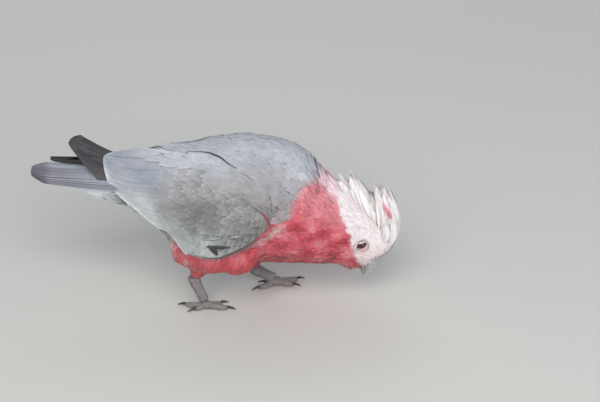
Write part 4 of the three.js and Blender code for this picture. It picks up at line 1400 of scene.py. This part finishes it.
def makeBack():
    tree = treeOf(*[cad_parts[n] for n in ("trunk", "wing_right", "wing_left")])
    surface = makeMap(tree, (0, 0, 1), (0, 1, 0), backPlan["map"])
    low, high = backPlan["x"]
    tips = scatterFlat((low, -backPlan["half"]), (high, backPlan["half"]), backPlan["spacing"],
                       lambda p: np.abs(p[:, 1]) < backPlan["half"] * smoothStep(-90, -30, p[:, 0]))
    turn = np.radians(draw.normal(0, 5, len(tips)) + 0.5 * tips[:, 1])
    away = np.stack([-np.cos(turn), np.sin(turn)], -1)
    length = backPlan["length"] * draw.uniform(0.85, 1.1, len(tips))
    t = np.linspace(1, 0, 8)[None, :, None]
    lines = tips[:, None] - away[:, None] * length[:, None, None] * t
    points, normals = onMap(surface, lines[..., 0], lines[..., 1])
    lie = unit(np.gradient(points, axis=1))
    width = np.full(len(tips), backPlan["width"])
    vanes = growVanes(points, unit(np.cross(lie, normals)), normals, length, width,
                      dict(wingShapes["scapular"], tilt=0, rootLift=-0.4, tipLift=1.7))
    tones = paintVanes(vanes, plumage(points[:, 4]) * (1 + draw.normal(0, 0.02, (len(tips), 1))), shade=0.08)
    makeCoat("back_feathers", vanes, tones, bakePlaces(tips[:, 0], tips[:, 1]), coverFeather)


makeBack()


# the tail: twelve quills over the CAD tail, nearly closed, the middle pair on top
tailPlan = {
    "shares": (0.2, 0.5, 0.66, 0.8, 0.91, 1.0), "width": 20, "arch": 5, "rounding": 4, "lean": 0.1,
    "root": (-74, 127.5, 15), "tip": (-164.4, 131.2, 10.5),  # x, z, half width
    "stack": 0.16, "coverts": (9, 34, 15),  # how many, length, width
    "covertRows": ((-78, 0.0), (-66, 0.8), (-56, 1.6)),  # where each row starts and how much higher it lies
}
tailHues = palette(quill="#88878e", blue="#86a0c4", pale="#b9c1cf", tip="#57525d", rim="#c2c5cd",
                   edge="#56525a", covert="#c3c7cd", under="#dde4ea")


def leaned(path, lean):  # up, leaning out to the sides by an angle
    return np.stack([0 * lean, np.sin(lean), np.cos(lean)], -1) + np.zeros_like(path)


def tailRow(share, s):  # share -1 at the right edge to 1 at the left; s from root to tip
    (rootX, rootZ, rootHalf), (tipX, tipZ, tipHalf) = tailPlan["root"], tailPlan["tip"]
    endX = tipX + tailPlan["rounding"] * abs(share) ** 3
    x = rootX + (endX - rootX) * s
    y = (rootHalf + (tipHalf - rootHalf) * s) * share
    z = rootZ + (tipZ - rootZ) * s - tailPlan["arch"] * share * share * (1 - 0.85 * s) - 3 * s * (1 - s)
    return np.stack([x, y, z], -1)


def makeTail():
    s = np.linspace(0, 1, 9)
    shares = np.array([k * sign for k in tailPlan["shares"][::-1] for sign in (1, -1)])
    path = np.stack([tailRow(k, s) for k in shares])
    path[..., 2] += (np.arange(len(shares)) * tailPlan["stack"] - 1.6)[:, None]
    aside, ups = squareTo(path, leaned(path, tailPlan["lean"] * shares[:, None] * (1 - s)))
    length = np.linalg.norm(path[:, -1] - path[:, 0], axis=1)
    shape = vaneShape("flight", 18, 9, 0.35, 0.03, 0, 0, 0.015, 0, 400, 0.1, 0.01)
    vanes = growVanes(path, aside, ups, length, np.full(len(shares), tailPlan["width"]), shape)
    y, far = vanes["place"][..., 1], vanes["share"]
    # the tips make one rounded end
    end = tailPlan["tip"][0] + tailPlan["rounding"] * 1.5 * (np.abs(y) / 20) ** 3
    vanes["place"][..., 0] += 0.9 * np.maximum(end - vanes["place"][..., 0], 0)
    edge = vanes["edge"]
    tones = np.broadcast_to(tailHues["quill"], vanes["place"].shape)
    # painted light: the far, upper side of the tail is paler, with a painted blue sheen along it. Besides,
    # the root end is paler and the near edge darker
    for tone, share in (("pale", 0.8 * smoothStep(0.75, 0.25, far)), ("pale", 0.8 * smoothStep(3, 8, y)),
                        ("blue", 0.8 * smoothStep(12, 17, y)), ("edge", 0.35 * smoothStep(-13, -18, y))):
        tones = mix(tones, tailHues[tone], share)
    tones = jittered(tones, 0.03)
    inner = smoothStep(0.72, 0.86, edge) * (1 - smoothStep(0.9, 1, edge))
    for tone, share in (("edge", 0.55 * inner), ("rim", 0.5 * smoothStep(0.9, 1, edge)),
                        ("tip", 0.8 * smoothStep(0.78, 0.9, far))):
        tones = mix(tones, tailHues[tone], share)
    places = bakePlaces(path[:, 0, 1], length)
    tail = makeCoat("tail_quills", vanes, tones, places, quillFeather)
    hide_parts("tail")
    makeTailCoverts()


def makeTailCoverts():
    count, length, width = tailPlan["coverts"]
    for row, (startX, rise) in enumerate(tailPlan["covertRows"]):
        shares = np.linspace(-0.9, 0.9, count - row)
        s0 = (tailPlan["root"][0] - startX) / (tailPlan["root"][0] - tailPlan["tip"][0])
        s = s0 + np.linspace(0, length / 90, 7)
        path = np.stack([tailRow(k, s) for k in shares])
        path[..., 2] += np.linspace(2.2 + rise, 1.4 + rise, 7)
        ups = leaned(path, 2.4 * tailPlan["lean"] * shares[:, None])
        aside = np.cross(unit(np.gradient(path, axis=1)), ups)
        each = np.ones(len(shares))
        vanes = growVanes(path, aside, ups, length * each, width * each,
                          dict(wingShapes["greater"], wrapRadius=40))
        tones = paintVanes(vanes, np.tile(tailHues["covert"], (len(shares), 1)), tailHues["rim"], 0.4, 0.08)
        places = bakePlaces(shares, shares * 0.5)
        makeCoat("tailCoverts_" + str(row + 1), vanes, tones, places, coverFeather)


underTail = {"x": (-142, -116, -104, -84), "half": (8, 13.5, 16.8, 20), "low": (120.5, 109.5, 103.5, 97),
             "top": 121, "rows": ((-80, 13), (-91, 12), (-102, 11)), "length": 36, "width": 9.5}


def makeUnderTail():  # pale soft coverts close the step from the belly to the tail
    for start, count in underTail["rows"]:
        turn = np.linspace(-1.5, 1.5, count)[:, None] + draw.normal(0, 0.03, (count, 1))
        x = start - np.linspace(0, underTail["length"], 8) * draw.uniform(0.88, 1.06, (count, 1))
        half, low = (np.interp(x, underTail["x"], underTail[key]) for key in ("half", "low"))
        deep = underTail["top"] - low
        path = np.stack([x, half * np.sin(turn), underTail["top"] - deep * np.cos(turn)], -1)
        ups = np.stack([0 * x, np.sin(turn) + 0 * x, 0 * x - np.cos(turn)], -1)
        aside, ups = squareTo(path, ups)
        shape = dict(vaneShapes["breast"], stations=9, tipLift=0.6, fray=0.4, wrapRadius=16)
        each = np.ones(count)
        vanes = growVanes(path, aside, ups, underTail["length"] * each, underTail["width"] * each, shape)
        tones = paintVanes(vanes, np.tile(tailHues["under"], (count, 1)), tailHues["rim"], 0.3, 0.08)
        makeCoat("underTail_" + str(-start), vanes, tones, bakePlaces(turn[:, 0], turn[:, 0] * 0.5 + start),
                 softFeather)


makeTail()
makeUnderTail()
print("the tail is feathered")


# the crest: lance-shaped plumes in two lobes, each of several narrow feathers
crestPlan = {
    "centre": (126.32, 0, 64), "pitch": 45,
    "rows": [  # root, bend and end as (forward, up) from the middle of the head; how many, fan and width
        ((25, 15), (20.5, 32), (-5, 52), 3, 7, 10),
        ((24, 14), (18.5, 31), (-9, 50), 4, 11, 11),
        ((21, 16), (15, 28), (0, 40), 6, 14, 10),
        ((19, 17), (13, 38), (-14.5, 56), 4, 10, 12),
        ((14, 21), (5, 38), (-21, 55), 5, 12, 12),
        ((9, 24), (-2, 37), (-27, 51.5), 5, 12, 12),
        ((6, 25), (-6, 34.5), (-23, 41), 6, 12, 12),
        ((1, 25), (-18, 34), (-45, 42.5), 5, 10, 12),
        ((-6, 25), (-29, 34), (-52, 43), 3, 7, 11),
        ((-13, 24), (-33, 30), (-56, 33), 3, 8, 8),
    ],
    "strands": 15, "shorter": 0.16,
    "blush": ((151, 101), (157, 90), 2.8),  # a pink parting by the brow: from, to (x, z) and reach
}
crestHues = palette(white="#fbf5f6", blush="#d95f70")
pitch = math.radians(crestPlan["pitch"])
headForward = np.array([math.cos(pitch), 0, -math.sin(pitch)])
headUp = np.array([math.sin(pitch), 0, math.cos(pitch)])
across = np.array([0.0, 1, 0])


def onHead(forward, side, up):
    return np.array(crestPlan["centre"]) + headForward * forward + across * side + headUp * up


def makeCrest():
    path, facing, width = [], [], []
    for root, bend, end, count, fan, wide in crestPlan["rows"]:
        for share in np.linspace(-1, 1, count):
            for strand in range(crestPlan["strands"]):
                main = strand == 0
                stray = 0 if main else draw.uniform(-1, 1)
                fall = crestPlan["shorter"] * abs(share) + (0 if main else draw.uniform(0.05, 0.4))
                lift = 0 if main else draw.uniform(-1.6, 1.2)
                shortEnd = [e + (b - e) * fall for e, b in zip(end, bend)]
                spread = fan * share + stray * wide * 0.3
                a = onHead(root[0] + lift, spread * 0.75, root[1] - 2.5 * abs(share) + lift)
                b = onHead(bend[0] + lift, spread, bend[1] - 3 * abs(share) + lift)
                c = onHead(shortEnd[0] + lift, spread * 0.75 + stray, shortEnd[1] - 2 * abs(share) + lift)
                t = np.linspace(0, 1, 9)[:, None]
                path.append(a * (2 * t - 1) * (t - 1) + b * 4 * t * (1 - t) + c * t * (2 * t - 1))
                out = unit(headForward + headUp + across * (2.0 * share + 0.5 * stray))
                facing.append(np.tile(out, (9, 1)))
                width.append(wide * (0.8 if main else draw.uniform(0.35, 0.65)))
    path, facing, width = np.stack(path), np.stack(facing), np.array(width)
    aside, ups = squareTo(path, facing)
    length = np.linalg.norm(np.diff(path, axis=1), axis=-1).sum(1)
    shape = vaneShape("plume", 12, 7, 0.25, 0.45, 0, 0.3, 0.16, 0.3, 60, 0.35, 0.1, 1.2, frayDeep=0.5)
    vanes = growVanes(path, aside, ups, length, width, shape)
    white, blush = crestHues["white"], crestHues["blush"]
    tones = jittered(np.broadcast_to(white, vanes["place"].shape), 0.02)
    tones = mix(tones, blush, 0.1 * (1 - smoothStep(0.1, 0.5, vanes["share"])))
    start, end, reach = crestPlan["blush"]
    away = offSegment(vanes["place"][..., [0, 2]], start, end)
    tones = mix(tones, blush, 0.9 * smoothStep(reach, 1, away))
    places = bakePlaces(np.arange(len(path)) % 13, np.arange(len(path)) // 13)
    crest = makeCoat("crest_plumes", vanes, tones, places, crestFeather)
    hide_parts("crest")


makeCrest()
print("the crest is feathered")


# eyes: a wet dark ball, pale swollen lids round an almond opening, and a ring of bare warty skin
eyePlan = {
    "ball": 5.3, "pupil": 1.55, "iris": 3.3,
    "opening": (4.9, 3.2), "openingTurn": 14,  # half axes, and degrees up towards the bill
    "lid": 0.45, "lidRise": 0.45, "ring": 7.9, "warts": 26, "wartHeight": 0.28, "spokes": 156,
    "rows": 14, "tuck": 2,
}
eyeHues = palette(lid="#e6d3d2", ring="#b5adae", low="#d5a9a6", edge="#c9bcbd")


def makeEyeFinish():  # clear wet surface over a brown iris: deep, with a sharp glint
    finish, tree, surface = newFinish("wetCornea", Roughness=0.06, IOR=1.376, Coat_Weight=1,
                                      Coat_Roughness=0.03)
    place = addNode(tree, "ShaderNodeTexCoord")
    middle = addNode(tree, "ShaderNodeMapping", {"vector_type": "POINT"}, Vector=place.outputs["Object"])
    middle.inputs["Location"].default_value = (-eyes["right"][0] * mm, 0, -eyes["right"][2] * mm)
    middle.inputs["Scale"].default_value = (1, 0, 1)
    away = addNode(tree, "ShaderNodeVectorMath", {"operation": "LENGTH"}, Vector=middle.outputs["Vector"])
    rays = addTexture(tree, "ShaderNodeTexNoise", 10 / 9, {"Detail": 2})
    soft = addWeighted(tree, rays.outputs["Fac"], 0.3 * mm, away.outputs["Value"])
    reach = 5  # mm from the middle of the eye to the end of the ramp
    pupil, iris = eyePlan["pupil"] / reach, eyePlan["iris"] / reach
    share = addNode(tree, "ShaderNodeMapRange", {"From Min": 0, "From Max": reach * mm}, Value=soft)
    tone = addBands(tree, share.outputs[0], (
        (0, "#050304"), (pupil, "#070405"), (pupil + 0.05, "#4a1a16"), (iris - 0.06, "#6e2c22"),
        (iris + 0.04, "#241210"), (1, "#1a0e0d")))
    tree.links.new(tone, surface.inputs["Base Color"])
    return finish


def makeEye(side, finish):
    bpy.ops.mesh.primitive_uv_sphere_add(segments=48, ring_count=24, radius=eyePlan["ball"] * mm,
                                         location=eyes[side] * mm, rotation=(math.pi / 2, 0, 0))
    ball = bpy.context.object
    ball.name = "eyeball_" + side
    makeActive(ball)
    bpy.ops.object.transform_apply(location=True, rotation=True, scale=True)
    bpy.ops.object.shade_smooth()
    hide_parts("eye_" + side)
    dress(ball, finish)


def onFace(skinTree, centre, sign, flat):  # how far out the skin lies beside the eye, past the ball's middle
    out = []
    for dx, dz in flat:
        start = Vector((centre[0] + dx, sign * 60, centre[2] + dz))
        hit = skinTree.ray_cast(start, Vector((0, -sign, 0)))[0]
        out.append(abs(hit[1]) if hit is not None else abs(centre[1]) + 3)
    return np.array(out) - abs(centre[1])


def makeLids(side, sign, skinTree, finish):
    centre, spokes, rows, tuck = eyes[side], eyePlan["spokes"], eyePlan["rows"], eyePlan["tuck"]
    turn = np.linspace(0, 2 * math.pi, spokes, endpoint=False)
    tilt = math.radians(eyePlan["openingTurn"])
    almond = 1 - 0.14 * np.cos(2 * turn) ** 2 + 0.14 * np.cos(turn) ** 6
    long, high = (half * almond * way for half, way in zip(eyePlan["opening"], (np.cos(turn), np.sin(turn))))
    inner = np.stack([long * math.cos(tilt) - high * math.sin(tilt),
                      long * math.sin(tilt) + high * math.cos(tilt)], -1)
    outer = eyePlan["ring"] * np.stack([np.cos(turn), np.sin(turn) * 0.96], -1)
    below = np.clip(-np.sin(turn), 0, 1)
    points, tones = [], []
    for row in range(rows + tuck + 1):
        s = (row - tuck) / rows  # rows below zero tuck the lid's edge inside the opening
        flat = inner * (1 - max(s, 0) ** 0.85) + outer * max(s, 0) ** 0.85
        radius = np.linalg.norm(flat, axis=1)
        onBall = np.sqrt(np.maximum(eyePlan["ball"] ** 2 - radius ** 2, 0.4))
        skinOut = onFace(skinTree, centre, sign, flat)
        blend = smoothStep(0.15, 1.0, s)
        height = np.maximum(onBall + 0.3, skinOut) * (1 - blend) + (skinOut + eyePlan["lid"]) * blend
        height = np.maximum(height, onBall + 0.25)
        lidHump = eyePlan["lidRise"] * math.exp(-((s - 0.1) / 0.1) ** 2)
        warts = np.sin(turn * eyePlan["warts"] + 2.1 * row) * math.sin(row * 1.7) * eyePlan["wartHeight"]
        wartShare = float(smoothStep(0.2, 0.36, s) * (1 - smoothStep(0.85, 1, s)))
        height = height + lidHump + warts * wartShare + 0.25 * wartShare - (1.0 if s >= 0.999 else 0)
        if s < 0:
            height = onBall - 0.5 * (-s * rows)
        points.append(np.stack([centre[0] + flat[:, 0], sign * (abs(centre[1]) + height),
                                centre[2] + flat[:, 1]], -1))
        tone = np.broadcast_to(mix(eyeHues["lid"], eyeHues["ring"], smoothStep(0.16, 0.34, s)), (spokes, 3))
        tone = mix(tone, eyeHues["low"], 0.6 * below * float(smoothStep(0.1, 0.4, s)))
        tone = mix(tone, eyeHues["edge"], float(smoothStep(0.7, 1, s)) * 0.6)
        tones.append(tone * (1 + 0.5 * (warts * wartShare))[:, None])
    faces = []
    for a, k in itertools.product(range(0, (len(points) - 1) * spokes, spokes), range(spokes)):
        n = (k + 1) % spokes
        loop = (a + k, a + spokes + k, a + spokes + n, a + n)
        faces.append(loop[::-sign])
    mesh = bpy.data.meshes.new("lids_" + side)
    mesh.from_pydata([tuple(p * mm) for p in np.concatenate(points)], [], faces)
    addTint(mesh, np.concatenate(tones))
    lids = addPiece("lids_" + side, mesh)
    makeActive(lids)
    bpy.ops.object.shade_smooth()
    dress(lids, finish)


def makeEyes():
    skinTree, wet = treeOf(skin), makeEyeFinish()
    # dry warty skin, greyish with pink showing through
    bare = grainySkin("bareEyeSkin", 0.5, (0.8, 1.15), (0.5, 0.1), Roughness=0.6, Subsurface_Weight=0.1,
                      Subsurface_Scale=0.6 * mm)
    for side, sign in sides.items():
        makeEye(side, wet)
        makeLids(side, sign, skinTree, bare)


makeEyes()
print("the eyes are set")


# bill, legs and claws
hardParts = {
    "bill": (0.45, 0.15, 9), "leg": (0.6, 0.4, 6),  # voxel, swell and rounds of smoothing
    "scute": 1.5, "pebble": 1.7, "pebbleRise": 0.45,
}


def makeHornFinish(name, pale, dark, band, roughness):
    finish, tree, surface = newFinish(name, Roughness=roughness, IOR=1.55)
    cloud = addTexture(tree, "ShaderNodeTexNoise", 6, {"Detail": 5, "Roughness": 0.6})
    lines = addTexture(tree, "ShaderNodeTexWave", 3.2 * band,
                       {"Distortion": 3.5, "Detail": 3, "bands_direction": "DIAGONAL"})
    both = addWeighted(tree, lines.outputs["Fac"], 0.14, cloud.outputs["Fac"])
    shade = addNode(tree, "ShaderNodeMapRange", {"From Min": 0.35, "From Max": 1.0}, Value=both)
    tone = addBands(tree, shade.outputs[0], ((0, dark), (1, pale)))
    tree.links.new(tone, surface.inputs["Base Color"])
    raiseSurface(tree, surface, both, 0.35, 0.08)
    return finish


def makeBill():
    # bone-white, with faint growth lines
    horn = makeHornFinish("paleBillHorn", pale="#cfd0cb", dark="#8f918f", band=1.4, roughness=0.34)
    for part in ("upper", "lower"):
        bill = fusedCopy("bill_" + part + "_horn", ["bill_" + part], *hardParts["bill"])
        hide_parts("bill_" + part)
        dress(bill, horn)


def makeScaleFinish():  # dry grey scutes with dark seams: dull and pebbled
    finish, tree, surface = newFinish("scalyLegSkin", Roughness=0.68)
    cells = addTexture(tree, "ShaderNodeTexVoronoi", hardParts["scute"], {"feature": "DISTANCE_TO_EDGE"})
    cloud = addTexture(tree, "ShaderNodeTexNoise", 4, {"Detail": 4})
    seam = addNode(tree, "ShaderNodeMapRange", {"From Max": 0.16}, Value=cells.outputs["Distance"])
    tone = addBands(tree, seam.outputs[0], ((0, "#4e4849"), (1, "#989192")))
    shade = addNode(tree, "ShaderNodeMapRange", {"To Min": 0.7, "To Max": 1.25}, Value=cloud.outputs["Fac"])
    shadeSurface(tree, surface, tone, shade.outputs[0])
    raiseSurface(tree, surface, seam.outputs[0], 0.6, 0.15)
    return finish


def makeLegs():
    scaly = makeScaleFinish()
    # near black, polished by wear
    clawHorn = makeHornFinish("darkClawHorn", pale="#57504f", dark="#1f1b1c", band=0.8, roughness=0.3)
    pebbles = bpy.data.textures.new("scutes", "VORONOI")
    pebbles.noise_scale = hardParts["pebble"] * mm
    for side in sides:
        nodes = ["leg_" + side, "foot_" + side]
        leg = fusedCopy("shank_and_toes_" + side, nodes, *hardParts["leg"])
        applyModifier(leg, "DISPLACE", strength=hardParts["pebbleRise"] * mm, mid_level=0.5,
                      texture=pebbles, texture_coords="LOCAL")
        points = pointsOf(leg.data)
        points[:, 2] = np.maximum(points[:, 2], 0)  # the pads rest flat on the floor
        setPoints(leg.data, points)
        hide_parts(*nodes)
        dress(leg, scaly)
        nodes = [f"claw_{side}_{k}" for k in range(1, 5)]
        claws = copyOfNodes("claws_horn_" + side, nodes)
        applyModifier(claws, "SUBSURF", levels=2, render_levels=2)
        bpy.ops.object.shade_smooth()
        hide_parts(*nodes)
        dress(claws, clawHorn)


makeBill()
makeLegs()
print("bill, legs and claws are made")
